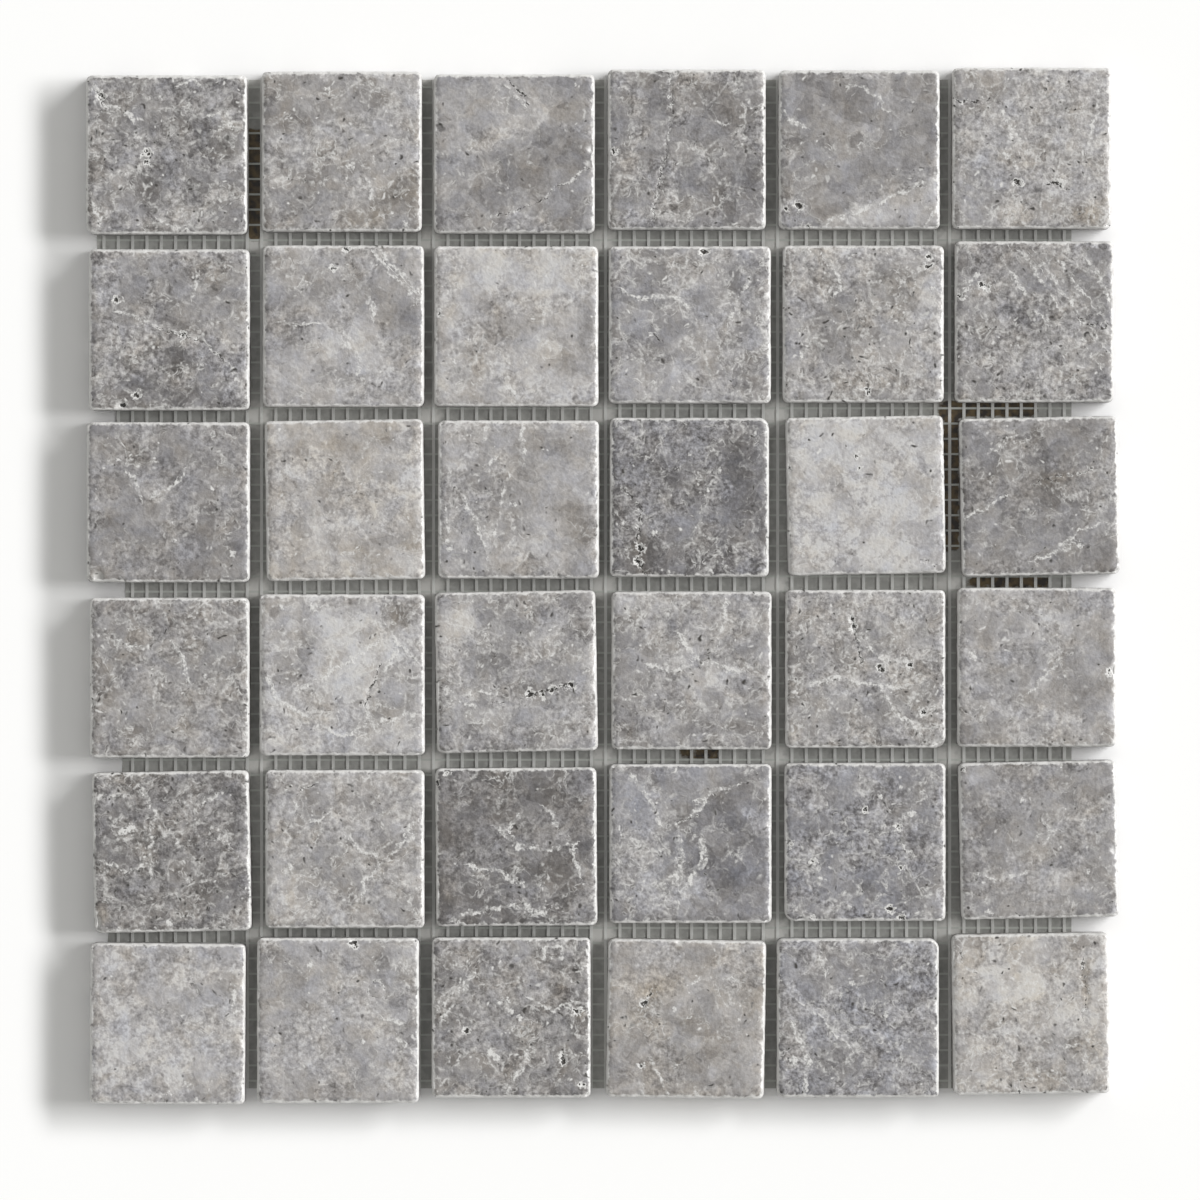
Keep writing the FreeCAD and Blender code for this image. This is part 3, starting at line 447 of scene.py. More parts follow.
        ("spot", 0.6, [(186, 1083)]), ("spot", 0.7, [(170, 1095)]), ("spot", 0.7, [(197, 1101)]),
        ("vein", 0.8, [(232, 985), (236, 1010)]), ("crack", 0.4, [(190, 986), (198, 994)]),
        ("pale", 9.0, [(150, 1050), (200, 1070)]),
    ],
    (6, 2): [
        ("lump", -0.04, [(369, 985), (380, 982), (392, 990), (398, 1005), (398, 1015), (385, 1015),
                         (370, 1000)]),
        ("lump", -0.03, [(362, 1060), (370, 1040), (385, 1050), (385, 1080), (365, 1095)]),
        ("lump", -0.06, [(398, 1005), (415, 1010), (415, 1040), (402, 1040)]), ("pit", 0.8, [(354, 943)]),
        ("spot", 0.5, [(310, 965)]), ("spot", 0.5, [(362, 1043)]),
        ("crack", 0.25, [(370, 984), (378, 980), (386, 986), (386, 996), (377, 1000), (370, 994),
                         (370, 984)]), ("vein", 0.4, [(385, 1018), (392, 1022), (400, 1022)]),
        ("vein", 0.4, [(399, 1038), (404, 1046), (411, 1052)]), ("chip", 1.2, [(354, 939)]),
        ("pale", 6.0, [(300, 1030)]),
    ],
    (6, 3): [
        ("lump", -0.08, [(448, 1010), (475, 1005), (480, 1020), (455, 1025)]),
        ("lump", -0.05, [(470, 1060), (495, 1065), (490, 1080), (465, 1078)]),
        ("lump", -0.06, [(565, 1040), (585, 1035), (585, 1090), (560, 1095), (555, 1070)]),
        ("vein", 0.4, [(546, 948), (560, 948), (560, 957), (547, 957), (546, 948)]),
        ("spot", 0.7, [(500, 1004)]), ("spot", 0.7, [(512, 1012)]), ("spot", 0.8, [(520, 1019)]),
        ("spot", 0.6, [(508, 1000)]), ("pit", 0.7, [(562, 1056), (562, 1062)]),
        ("spot", 0.9, [(498, 1057)]), ("vein", 0.7, [(572, 1000), (573, 1024)]),
        ("olive", 1.2, [(578, 1012)]), ("pale", 2.0, [(489, 1049), (498, 1059)]),
        ("spot", 1.1, [(492, 1052)]), ("spot", 1.4, [(467, 1030)]), ("pit", 0.8, [(467, 1030)]),
        ("vein", 0.35, [(436, 1011), (452, 996), (467, 980)]),
        ("vein", 0.5, [(474, 973), (458, 996), (440, 1020)]), ("pit", 0.5, [(577, 1011)]),
        ("dark", 3.0, [(562, 1059)]), ("vein", 0.6, [(529, 1049), (520, 1070), (508, 1090)]),
        ("pit", 0.6, [(582, 1085)]), ("net", 8.0, [(460, 1010)]),
        ("vein", 0.5, [(530, 1000), (552, 1012), (574, 1004)]), ("brown", 3.0, [(560, 980)]),
    ],
    (6, 4): [
        ("spot", 0.6, [(652, 1062)]), ("vein", 0.5, [(641, 1085), (645, 1097)]),
        ("spot", 0.4, [(690, 1018)]), ("spot", 0.4, [(674, 1010)]), ("spot", 0.4, [(738, 1020)]),
        ("spot", 0.4, [(675, 1066)]),
        ("lump", 0, [(660, 1000), (750, 990), (760, 1080), (690, 1090)]), ("brown", 1.6, [(679, 945)]),
        ("chip", 1.4, [(680, 942)]), ("crack", 0.5, [(655, 988), (650, 994), (646, 1004)]),
        ("pit", 0.6, [(645, 1004)]), ("vein", 0.5, [(652, 1062), (660, 1080), (669, 1097)]),
        ("pit", 0.5, [(641, 1066)]), ("olive", 3.0, [(650, 990)]),
        ("vein", 0.4, [(690, 985), (712, 975), (740, 982)]), ("pale", 5.0, [(720, 1000)]),
    ],
    (6, 5): [
        ("lump", -0.03, [(812, 1040), (850, 1045), (870, 1065), (850, 1080), (815, 1080)]),
        ("lump", -0.08, [(845, 960), (860, 965), (850, 975), (840, 975)]),
        ("lump", -0.06, [(860, 985), (880, 985), (880, 1000), (860, 1000)]),
        ("lump", -0.1, [(785, 1020), (795, 1020), (797, 1035), (787, 1035)]),
        ("vein", 0.7, [(808, 1062), (806, 1095)]), ("spot", 1, [(795, 1060)]),
        ("spot", 0.9, [(852, 982)]), ("spot", 0.8, [(888, 1016)]),
        ("vein", 0.4, [(820, 955), (825, 975)]), ("vein", 0.6, [(794, 1024), (800, 1044), (808, 1062)]),
        ("warm", 3.0, [(791, 1028)]), ("blue", 9.0, [(860, 1010), (900, 1040)]),
        ("vein", 0.4, [(800, 1000), (822, 1018), (850, 1050)]), ("net", 8.0, [(820, 1060)]),
    ],
    (6, 6): [
        ("lump", 0.1, [(980, 965), (1040, 965), (1040, 1000), (985, 1000)]),
        ("lump", 0.1, [(1090, 990), (1100, 985), (1106, 1005), (1092, 1008)]),
        ("lump", -0.08, [(1098, 1010), (1108, 1010), (1108, 1050), (1095, 1040)]),
        ("crack", 0.4, [(1085, 955), (1082, 970), (1085, 990), (1085, 1015)]),
        ("brown", 1.3, [(1092, 960), (1083, 975), (1086, 1000)]), ("pit", 0.4, [(1019, 1091)]),
        ("pale", 5.0, [(990, 980), (1028, 984)]), ("pale", 3.0, [(1073, 1059)]),
        ("crack", 0.4, [(958, 950), (963, 960)]),
        ("vein", 0.4, [(1060, 1046), (1084, 1046), (1086, 1070)]),
        ("vein", 0.4, [(960, 1030), (990, 1040), (1012, 1030)]),
    ],
}


def linear(hex_colour):
    """An sRGB hex colour as the linear values that colour properties and shaders work with."""
    channels = [int(hex_colour[i:i + 2], 16) / 255 for i in (1, 3, 5)]
    return tuple(c / 12.92 if c <= 0.04045 else ((c + 0.055) / 1.055) ** 2.4 for c in channels)


class StoneSettings(bpy.types.PropertyGroup):
    voxel: bpy.props.FloatProperty(
        name="Voxel", description="Size of the cells that a tile is remeshed with",
        default=0.6 * MM, unit="LENGTH")
    face_wave: bpy.props.FloatProperty(
        name="Face wave", description="How deep tumbling has worn hollows into the faces",
        default=0.12 * MM, unit="LENGTH")
    edge_wear: bpy.props.FloatProperty(
        name="Edge wear", description="How far tumbling has nibbled the edges of the face",
        default=0.35 * MM, unit="LENGTH")
    edge_round: bpy.props.FloatProperty(
        name="Edge round", description="How far the face falls off towards its edges",
        default=0.28 * MM, unit="LENGTH")
    chips: bpy.props.IntProperty(
        name="Chips", description="Small chips round the face of each tile, besides those given by hand",
        default=9)
    chip_radius: bpy.props.FloatProperty(
        name="Chip radius", description="Radius of the largest of these chips",
        default=1.5 * MM, unit="LENGTH")
    seed: bpy.props.IntProperty(
        name="Seed", description="Changes the chips and the run of the pattern",
        default=5)
    deep: bpy.props.FloatVectorProperty(
        name="Deep", description="Stone in the darkest spots",
        default=linear("#4f4c4b"), subtype="COLOR")
    dark: bpy.props.FloatVectorProperty(
        name="Dark grey", description="Darkest parts of the marble",
        default=linear("#676463"), subtype="COLOR")
    body: bpy.props.FloatVectorProperty(
        name="Grey", description="Body colour of the marble",
        default=linear("#908d8c"), subtype="COLOR")
    light: bpy.props.FloatVectorProperty(
        name="Light grey", description="Paler clouds and flecks",
        default=linear("#aeabaa"), subtype="COLOR")
    pale: bpy.props.FloatVectorProperty(
        name="Pale", description="Colour of the palest stone",
        default=linear("#c6c4c2"), subtype="COLOR")
    warm: bpy.props.FloatVectorProperty(
        name="Warm tint", description="What iron does to the grey, at full strength",
        default=linear("#fff6e6"), subtype="COLOR")
    cold: bpy.props.FloatVectorProperty(
        name="Cold tint", description="What clay does to the grey, at full strength",
        default=linear("#eaf0ff"), subtype="COLOR")
    vein: bpy.props.FloatVectorProperty(
        name="Vein", description="Calcite veins",
        default=linear("#d6d5d3"), subtype="COLOR")
    # Paler stone along the edges: partly crushed, rubbed stone and partly a painted highlight on the rounded
    # edges
    rim_wear_and_highlight: bpy.props.FloatVectorProperty(
        name="Worn edge", description="Crushed, paler stone along the edges",
        default=linear("#d8d7d5"), subtype="COLOR")
    pit: bpy.props.FloatVectorProperty(
        name="Pit", description="Bottom of pits and cracks",
        default=linear("#2b2824"), subtype="COLOR")


class NetSettings(bpy.types.PropertyGroup):
    yarn: bpy.props.FloatVectorProperty(
        name="Yarn", description="Glass-fibre yarn under its resin",
        default=linear("#f4f4f1"), subtype="COLOR")
    weft: bpy.props.FloatVectorProperty(
        name="Weft", description="The yarns across, which lie in the adhesive",
        default=linear("#cdd0ca"), subtype="COLOR")
    resin: bpy.props.FloatVectorProperty(
        name="Resin", description="Where resin lies thick between the fibres",
        default=linear("#e2e3df"), subtype="COLOR")
    # The film's grey is partly the adhesive's own colour and partly painted shade: darker than the floor, so that
    # the joints look shaded
    film: bpy.props.FloatVectorProperty(
        name="Film", description="Adhesive that closes the meshes in the joints",
        default=linear("#bfbfbb"), subtype="COLOR")
    film_thick: bpy.props.FloatVectorProperty(
        name="Thick film", description="Where the adhesive lies thicker",
        default=linear("#a9a9a5"), subtype="COLOR")
    # Painted light: the film is paler where four tiles meet, as light reaches it along both joints there
    painted_crossing_light: bpy.props.FloatVectorProperty(
        name="Dab", description="Colour of the dabs where four tiles meet",
        default=linear("#dddcd8"), subtype="COLOR")
    stain: bpy.props.FloatVectorProperty(
        name="Stain", description="Brown stains in the adhesive",
        default=linear("#6b5a3c"), subtype="COLOR")
    stain_dark: bpy.props.FloatVectorProperty(
        name="Dark stain", description="Darkest parts of the stains",
        default=linear("#241c14"), subtype="COLOR")
    # How far that painted light reaches from the middle of a crossing
    crossing_light_reach: bpy.props.FloatProperty(
        name="Dab reach", description="How far a dab spreads from the middle of a crossing",
        default=3.2 * MM, unit="LENGTH")
    film_lap: bpy.props.FloatProperty(
        name="Film lap", description="How far the film reaches under the tiles at least",
        default=1.0 * MM, unit="LENGTH")
    film_height: bpy.props.FloatProperty(
        name="Film height", description="Height of the film's upper side over the net's underside",
        default=0.07 * MM, unit="LENGTH")
    film_thickness: bpy.props.FloatProperty(
        name="Film thickness", description="Thickness of the film",
        default=0.04 * MM, unit="LENGTH")
    film_cell: bpy.props.FloatProperty(
        name="Film cell", description="Size of the squares that the film is made of",
        default=2.5 * MM, unit="LENGTH")


class StageSettings(bpy.types.PropertyGroup):
    floor: bpy.props.FloatVectorProperty(
        name="Floor", description="Colour of the floor",
        default=linear("#ffffff"), subtype="COLOR")
    sky: bpy.props.FloatVectorProperty(
        name="Sky", description="Colour of the sky's light",
        default=(1.0, 0.997, 0.965), subtype="COLOR")
    floor_side: bpy.props.FloatProperty(
        name="Floor side", description="Length of the floor's sides",
        default=12.0, unit="LENGTH")
    key: bpy.props.FloatProperty(
        name="Key light", description="Strength of the main light, all its lamps together",
        default=3.55)
    key_azimuth: bpy.props.FloatProperty(
        name="Key azimuth", description="Where the main light comes from, from +X towards +Y",
        default=math.radians(19), subtype="ANGLE")
    key_fan: bpy.props.FloatProperty(
        name="Key fan", description="Angle from each lamp of the main light to the next, seen from above",
        default=math.radians(9), subtype="ANGLE")
    key_height: bpy.props.FloatProperty(
        name="Key height", description="How high the main light stands",
        default=math.radians(30), subtype="ANGLE")
    key_spread: bpy.props.FloatProperty(
        name="Key spread", description="How wide each lamp looks from the sheet",
        default=math.radians(12.5), subtype="ANGLE")
    fill: bpy.props.FloatProperty(
        name="Fill", description="Strength of the even light from all round",
        default=0.425)
    camera_height: bpy.props.FloatProperty(
        name="Camera height", description="Height of the camera over the tiles",
        default=3.0, unit="LENGTH")


# Blender's names for the nodes that the materials use most, and for their settings
MATH = "ShaderNodeMath"
VECTOR_MATH = "ShaderNodeVectorMath"
MIX = "ShaderNodeMix"
MAP_RANGE = "ShaderNodeMapRange"
NOISE = "ShaderNodeTexNoise"
CELLS = "ShaderNodeTexVoronoi"
ATTRIBUTE = "ShaderNodeAttribute"
SPLIT = "ShaderNodeSeparateXYZ"
ADD = {"operation": "ADD"}
SUBTRACT = {"operation": "SUBTRACT"}
MULTIPLY = {"operation": "MULTIPLY"}
MULTIPLY_ADD = {"operation": "MULTIPLY_ADD"}
MAXIMUM = {"operation": "MAXIMUM"}
MINIMUM = {"operation": "MINIMUM"}
ABSOLUTE = {"operation": "ABSOLUTE"}
COLOURS = {"data_type": "RGBA"}
SOFT = {"interpolation_type": "SMOOTHSTEP"}

# Widest pieces of the crushed stone, in millimetres
PLATE_SIZE = 11.0
# Above this height in millimetres the net is warp, and below it weft
WARP_HEIGHT = 0.26


def add_node(tree, kind, settings=None, inputs=None):
    """Add a node, set its properties, and give each input a value or the output that feeds it."""
    node = tree.nodes.new(kind)
    for name, value in (settings or {}).items():
        setattr(node, name, value)
    for name, value in (inputs or {}).items():
        if isinstance(value, bpy.types.NodeSocket):
            tree.links.new(value, node.inputs[name])
        else:
            node.inputs[name].default_value = value
    return node


def per_mm(size):
    """Scale of a texture whose cells are this many millimetres across."""
    return 1 / (size * MM)


def new_material(name):
    """An empty material with its node tree."""
    material = bpy.data.materials.new(name)
    material.use_nodes = True
    material.node_tree.nodes.clear()
    return material, material.node_tree


def stone_places(tree):
    """Where the stone's pattern is read: straight, bent a little, and bent much.

    Every tile is cut from another place of the block, so each reads the pattern elsewhere.
    """
    place = add_node(tree, "ShaderNodeTexCoord").outputs["Object"]
    shift = add_node(tree, ATTRIBUTE, {"attribute_name": "stone_shift"}).outputs["Vector"]
    stone = add_node(tree, VECTOR_MATH, ADD, {0: place, 1: shift}).outputs[0]
    bend = add_node(tree, NOISE, {}, {"Vector": stone, "Scale": per_mm(6), "Detail": 2.0,
                                      "Roughness": 0.55})
    bend = add_node(tree, VECTOR_MATH, SUBTRACT, {0: bend.outputs["Color"], 1: (0.5, 0.5, 0.5)}).outputs[0]
    places = [stone]
    for reach in (3 * MM, 7 * MM):
        push = add_node(tree, VECTOR_MATH, {"operation": "SCALE"}, {0: bend, "Scale": reach}).outputs[0]
        places.append(add_node(tree, VECTOR_MATH, ADD, {0: stone, 1: push}).outputs[0])
    return places


def tile_fields(tree):
    """What a tile's look and its drawn marks say at each point, three numbers to a field."""
    fields = {}
    for name in ("stain", "lump_field", "vein_field", "crack_field", "hole_field"):
        field = add_node(tree, ATTRIBUTE, {"attribute_name": name}).outputs["Vector"]
        fields[name] = add_node(tree, SPLIT, {}, {0: field}).outputs
    return fields


def stone_layers(tree, stone, bent):
    """Clouds of 15 mm, drifts of 8 mm, blotches of 4.5 mm, flecks of 2.4 mm and speckle of 1 mm.

    Each noise has three channels, which serve different parts of the pattern.
    """
    layers = {}
    for name, source, size, detail in (
            ("cloud", bent, 15, 1.0),
            ("drift", bent, 8, 3.0),
            ("blotch", bent, 4.5, 3.0),
            ("fleck", stone, 2.4, 2.0),
            ("speckle", stone, 1.0, 1.0)):
        layer = add_node(tree, NOISE, {}, {"Vector": source, "Scale": per_mm(size), "Detail": detail,
                                           "Roughness": 0.6}).outputs["Color"]
        layers[name] = add_node(tree, SPLIT, {}, {0: layer}).outputs
    return layers


def crushed_pieces(tree, mild, bent):
    """Crushed stone: plates of 11 mm and chunks of 5 mm, hardly bent, and grains of 2 mm.

    Gives each kind's random numbers, the distance from a grain's middle and that from a seam of the plates.
    """
    pieces = {}
    for name, source, size in (("plate", mild, PLATE_SIZE), ("chunk", mild, 5.0), ("grain", bent, 2.0)):
        cells = add_node(tree, CELLS, {}, {"Vector": source, "Scale": per_mm(size)})
        pieces[name] = add_node(tree, SPLIT, {}, {0: cells.outputs["Color"]}).outputs
    seam = add_node(tree, CELLS, {"feature": "DISTANCE_TO_EDGE"},
                    {"Vector": mild, "Scale": per_mm(PLATE_SIZE)})
    return pieces, cells.outputs["Distance"], seam.outputs["Distance"]


def smooth_lumps(tree, layers, lump_gap, net_share):
    """Smooth lumps with a ragged brink, those drawn and others where a cloud is thin.

    Gives the distance from the brink, less than nothing inside, and how far a point lies in a lump, 0 to 1.
    """
    other = add_node(tree, MATH, MULTIPLY_ADD, {0: net_share, 1: 0.12, 2: layers["cloud"][1]}).outputs[0]
    other = add_node(tree, MATH, MULTIPLY_ADD, {0: other, 1: 30.0, 2: -15.0}).outputs[0]
    ragged = add_node(tree, MAP_RANGE, {}, {"Value": layers["blotch"][2], "From Min": 0.3, "From Max": 0.7,
                                            "To Min": -0.8, "To Max": 0.8}).outputs[0]
    brink = add_node(tree, MATH, MINIMUM, {0: lump_gap, 1: other}).outputs[0]
    brink = add_node(tree, MATH, ADD, {0: brink, 1: ragged}).outputs[0]
    brink = add_node(tree, MATH, MULTIPLY_ADD, {0: layers["fleck"][2], 1: 1.4, 2: brink}).outputs[0]
    lump = add_node(tree, MAP_RANGE, SOFT, {"Value": brink, "From Min": 0.5, "From Max": 0.9,
                                            "To Min": 1.0, "To Max": 0.0}).outputs[0]
    return brink, lump


def stone_level(tree, layers, pieces, tone, grit, lump, lump_tone):
    """How light the stone is: broad parts, a grain that shows all over, and parts of the ground alone."""
    sums = {"broad": tone, "grain": None, "ground": None}
    for name, source, low, high, least, most in (
            ("broad", layers["cloud"][0], 0.3, 0.7, 0.31, 0.46),
            ("broad", pieces["plate"][0], 0.0, 1.0, -0.1, 0.1),
            ("broad", pieces["chunk"][0], 0.0, 1.0, -0.12, 0.12),
            ("broad", layers["drift"][0], 0.48, 0.52, -0.04, 0.04),
            ("broad", layers["drift"][1], 0.51, 0.55, 0.03, -0.05),
            ("broad", layers["blotch"][1], 0.46, 0.52, -0.04, 0.04),
            ("broad", layers["drift"][2], 0.3, 0.7, 0.05, -0.05),
            ("grain", layers["fleck"][0], 0.3, 0.7, -0.15, 0.15),
            ("grain", layers["speckle"][0], 0.3, 0.7, -0.2, 0.2),
            ("ground", pieces["grain"][0], 0.0, 1.0, -0.08, 0.08),
            ("ground", layers["fleck"][1], 0.44, 0.56, -0.08, 0.08)):
        part = add_node(tree, MAP_RANGE, {}, {"Value": source, "From Min": low, "From Max": high,
                                              "To Min": least, "To Max": most}).outputs[0]
        if sums[name] is not None:
            part = add_node(tree, MATH, ADD, {0: sums[name], 1: part}).outputs[0]
        sums[name] = part
    ground = add_node(tree, MATH, SUBTRACT, {0: 1.0, 1: lump}).outputs[0]
    level = add_node(tree, MATH, MULTIPLY_ADD, {0: sums["ground"], 1: ground, 2: sums["grain"]}).outputs[0]
    calm = add_node(tree, MAP_RANGE, {}, {"Value": lump, "To Min": 1.15, "To Max": 0.5}).outputs[0]
    level = add_node(tree, MATH, MULTIPLY, {0: level, 1: calm}).outputs[0]
    level = add_node(tree, MATH, MULTIPLY_ADD, {0: level, 1: grit, 2: sums["broad"]}).outputs[0]
    return add_node(tree, MATH, MULTIPLY_ADD, {0: lump, 1: lump_tone, 2: level}).outputs[0]


def stone_colour(tree, look, level, hue, drift):
    """The stone's grey at each point, with the slight warm and bluish tints that iron and clay give."""
    # A fifth of the ramp lies below level nothing, so that the darkest tiles keep their grain
    level = add_node(tree, MATH, MULTIPLY_ADD, {0: level, 1: 0.8, 2: 0.2}).outputs[0]
    ramp = add_node(tree, "ShaderNodeValToRGB", {}, {0: level})
    ramp.color_ramp.elements[0].color = (*look.deep, 1.0)
    ramp.color_ramp.elements[1].color = (*look.pale, 1.0)
    for position, stop in ((0.2, look.dark), (0.536, look.body), (0.8, look.light)):
        ramp.color_ramp.elements.new(position).color = (*stop, 1.0)
    colour = ramp.outputs["Color"]

    tint = add_node(tree, MAP_RANGE, {}, {"Value": drift, "From Min": 0.3, "From Max": 0.7,
                                          "To Min": -1.4, "To Max": 1.4}).outputs[0]
    hue = add_node(tree, MATH, ADD, {0: hue, 1: tint}).outputs[0]
    for full, paint in ((3.0, look.warm), (-3.0, look.cold)):
        amount = add_node(tree, MAP_RANGE, {}, {"Value": hue, "From Min": 0.0, "From Max": full}).outputs[0]
        colour = add_node(tree, MIX, {**COLOURS, "blend_type": "MULTIPLY"},
                          {0: amount, 6: colour, 7: (*paint, 1.0)}).outputs[2]
    return colour


def calcite_lines(tree, layers, seam, brink, net_mask):
    """White veins where a drift or blotch passes its middle, along seams of the plates and brinks of lumps.

    They show where the stone is netted, and are broken.
    """
    lines = None
    for source, middle, width, from_share, to_share, most in (
            (layers["drift"][0], 0.5, 0.035, 0.6, 0.9, 0.65),
            (layers["drift"][1], 0.53, 0.035, 0.45, 0.7, 0.8),
            (layers["blotch"][0], 0.55, 0.06, 1.0, 1.6, 0.35),
            (seam, 0.0, 0.05, 0.45, 0.85, 0.8),
            (brink, 0.8, 0.5, 0.45, 0.9, 0.5)):
        off = add_node(tree, MATH, SUBTRACT, {0: source, 1: middle}).outputs[0]
        off = add_node(tree, MATH, ABSOLUTE, {0: off}).outputs[0]
        line = add_node(tree, MAP_RANGE, SOFT, {"Value": off, "From Min": 0.0, "From Max": width,
                                                "To Min": most, "To Max": 0.0}).outputs[0]
        share = add_node(tree, MAP_RANGE, {}, {"Value": net_mask, "From Min": from_share,
                                               "From Max": to_share}).outputs[0]
        line = add_node(tree, MATH, MULTIPLY, {0: line, 1: share}).outputs[0]
        lines = line if lines is None else add_node(tree, MATH, MAXIMUM, {0: lines, 1: line}).outputs[0]
    for source, low, high, least in (
            (layers["fleck"][2], 0.42, 0.56, 0.15),
            (layers["drift"][2], 0.42, 0.54, 0.25),
            (layers["speckle"][2], 0.38, 0.54, 0.35)):
        broken = add_node(tree, MAP_RANGE, {}, {"Value": source, "From Min": low, "From Max": high,
                                                "To Min": least}).outputs[0]
        lines = add_node(tree, MATH, MULTIPLY, {0: lines, 1: broken}).outputs[0]
    return lines


def drawn_strands(tree, layers, fields):
    """Veins, cracks and a crack's pale flanks that are listed, with ragged sides and broken too."""
    waver = add_node(tree, MAP_RANGE, {}, {"Value": layers["fleck"][0], "From Min": 0.3, "From Max": 0.7,
                                           "To Min": -0.7, "To Max": 0.7}).outputs[0]
    waver = add_node(tree, MATH, MULTIPLY_ADD, {0: layers["speckle"][0], 1: 1.4, 2: waver}).outputs[0]
    strands = {}
    for name, attribute, wide, softness, channel, low, high, least in (
            ("vein", "vein_field", 0.3, 0.35, 2, 0.4, 0.54, 0.25),
            ("crack", "crack_field", -0.05, 0.15, 1, 0.42, 0.52, 0.0),
            ("flank", "crack_field", 0.4, 0.35, 2, 0.44, 0.58, 0.0)):
        side, near, half = fields[attribute]
        side = add_node(tree, MATH, ADD, {0: side, 1: waver}).outputs[0]
        side = add_node(tree, MATH, SUBTRACT, {0: side, 1: 0.7}).outputs[0]
        side = add_node(tree, MATH, ABSOLUTE, {0: side}).outputs[0]
        side = add_node(tree, MATH, SUBTRACT, {0: side, 1: half}).outputs[0]
        strand = add_node(tree, MAP_RANGE, SOFT, {"Value": side, "From Min": wide - softness,
                                                  "From Max": wide + softness, "To Min": 1.0,
                                                  "To Max": 0.0}).outputs[0]
        strand = add_node(tree, MATH, MULTIPLY, {0: strand, 1: near}).outputs[0]
        for layer, give in (("fleck", 0.0), ("speckle", 0.04)):
            gate = add_node(tree, MAP_RANGE, {}, {"Value": layers[layer][channel], "From Min": low - give,
                                                  "From Max": high, "To Min": least}).outputs[0]
            strand = add_node(tree, MATH, MULTIPLY, {0: strand, 1: gate}).outputs[0]
        strands[name] = strand
    return strands


def pits_and_grains(tree, layers, pieces, grain_gap, holes, net_mask):
    """Pits and white grains with ragged rims, crystals that ring a pit, and loose pores and crystals."""
    ragged = add_node(tree, MAP_RANGE, {}, {"Value": layers["speckle"][1], "From Min": 0.3, "From Max": 0.7,
                                            "To Min": -0.6, "To Max": 0.6}).outputs[0]
    spots = {}
    for name, source, from_gap, to_gap in (
            ("pit", holes[0], -0.25, 0.15),
            ("ring", holes[0], 0.3, 1.0),
            ("grain", holes[1], -0.5, 0.5)):
        gap = add_node(tree, MATH, ADD, {0: source, 1: ragged}).outputs[0]
        spots[name] = add_node(tree, MAP_RANGE, SOFT, {"Value": gap, "From Min": from_gap,
                                                       "From Max": to_gap, "To Min": 1.0,
                                                       "To Max": 0.0}).outputs[0]
    # Pores and crystals of 0.3 mm lie in the middle of some grains, drawn as 0.6 mm, the least that shows
    for name, channel, low in (("pore", 1, 0.96), ("crystal", 2, 0.94)):
        share = add_node(tree, MATH, MULTIPLY_ADD,
                         {0: net_mask, 1: 0.22, 2: pieces["grain"][channel]}).outputs[0]
        share = add_node(tree, MAP_RANGE, {}, {"Value": share, "From Min": low,
                                               "From Max": 1.12}).outputs[0]
        spot = add_node(tree, MAP_RANGE, SOFT, {"Value": grain_gap, "From Min": 0.08, "From Max": 0.36,
                                                "To Min": 1.0, "To Max": 0.0}).outputs[0]
        spots[name] = add_node(tree, MATH, MULTIPLY, {0: spot, 1: share}).outputs[0]
    return spots


def pale_rim_and_painted_highlight(tree, layers, chipped):
    """The rounded edges, pale in a band with a ragged inner side, partly rubbed stone and partly painted
    highlight, and the faces of chips.
    """
    rim_gap = add_node(tree, ATTRIBUTE, {"attribute_name": "rim_gap"}).outputs["Fac"]
    rim_gap = add_node(tree, MATH, MULTIPLY_ADD, {0: layers["fleck"][0], 1: -2.6, 2: rim_gap}).outputs[0]
    rim_gap = add_node(tree, MATH, MULTIPLY_ADD, {0: layers["speckle"][0], 1: -1.0, 2: rim_gap}).outputs[0]
    rim_wear_and_highlight = add_node(tree, MAP_RANGE, SOFT, {"Value": rim_gap, "From Min": -1.5, "From Max": -0.6,
                                           "To Min": 0.9, "To Max": 0.0}).outputs[0]
    chipped = add_node(tree, MATH, MULTIPLY, {0: chipped, 1: 0.6}).outputs[0]
    return add_node(tree, MATH, MAXIMUM, {0: rim_wear_and_highlight, 1: chipped}).outputs[0]


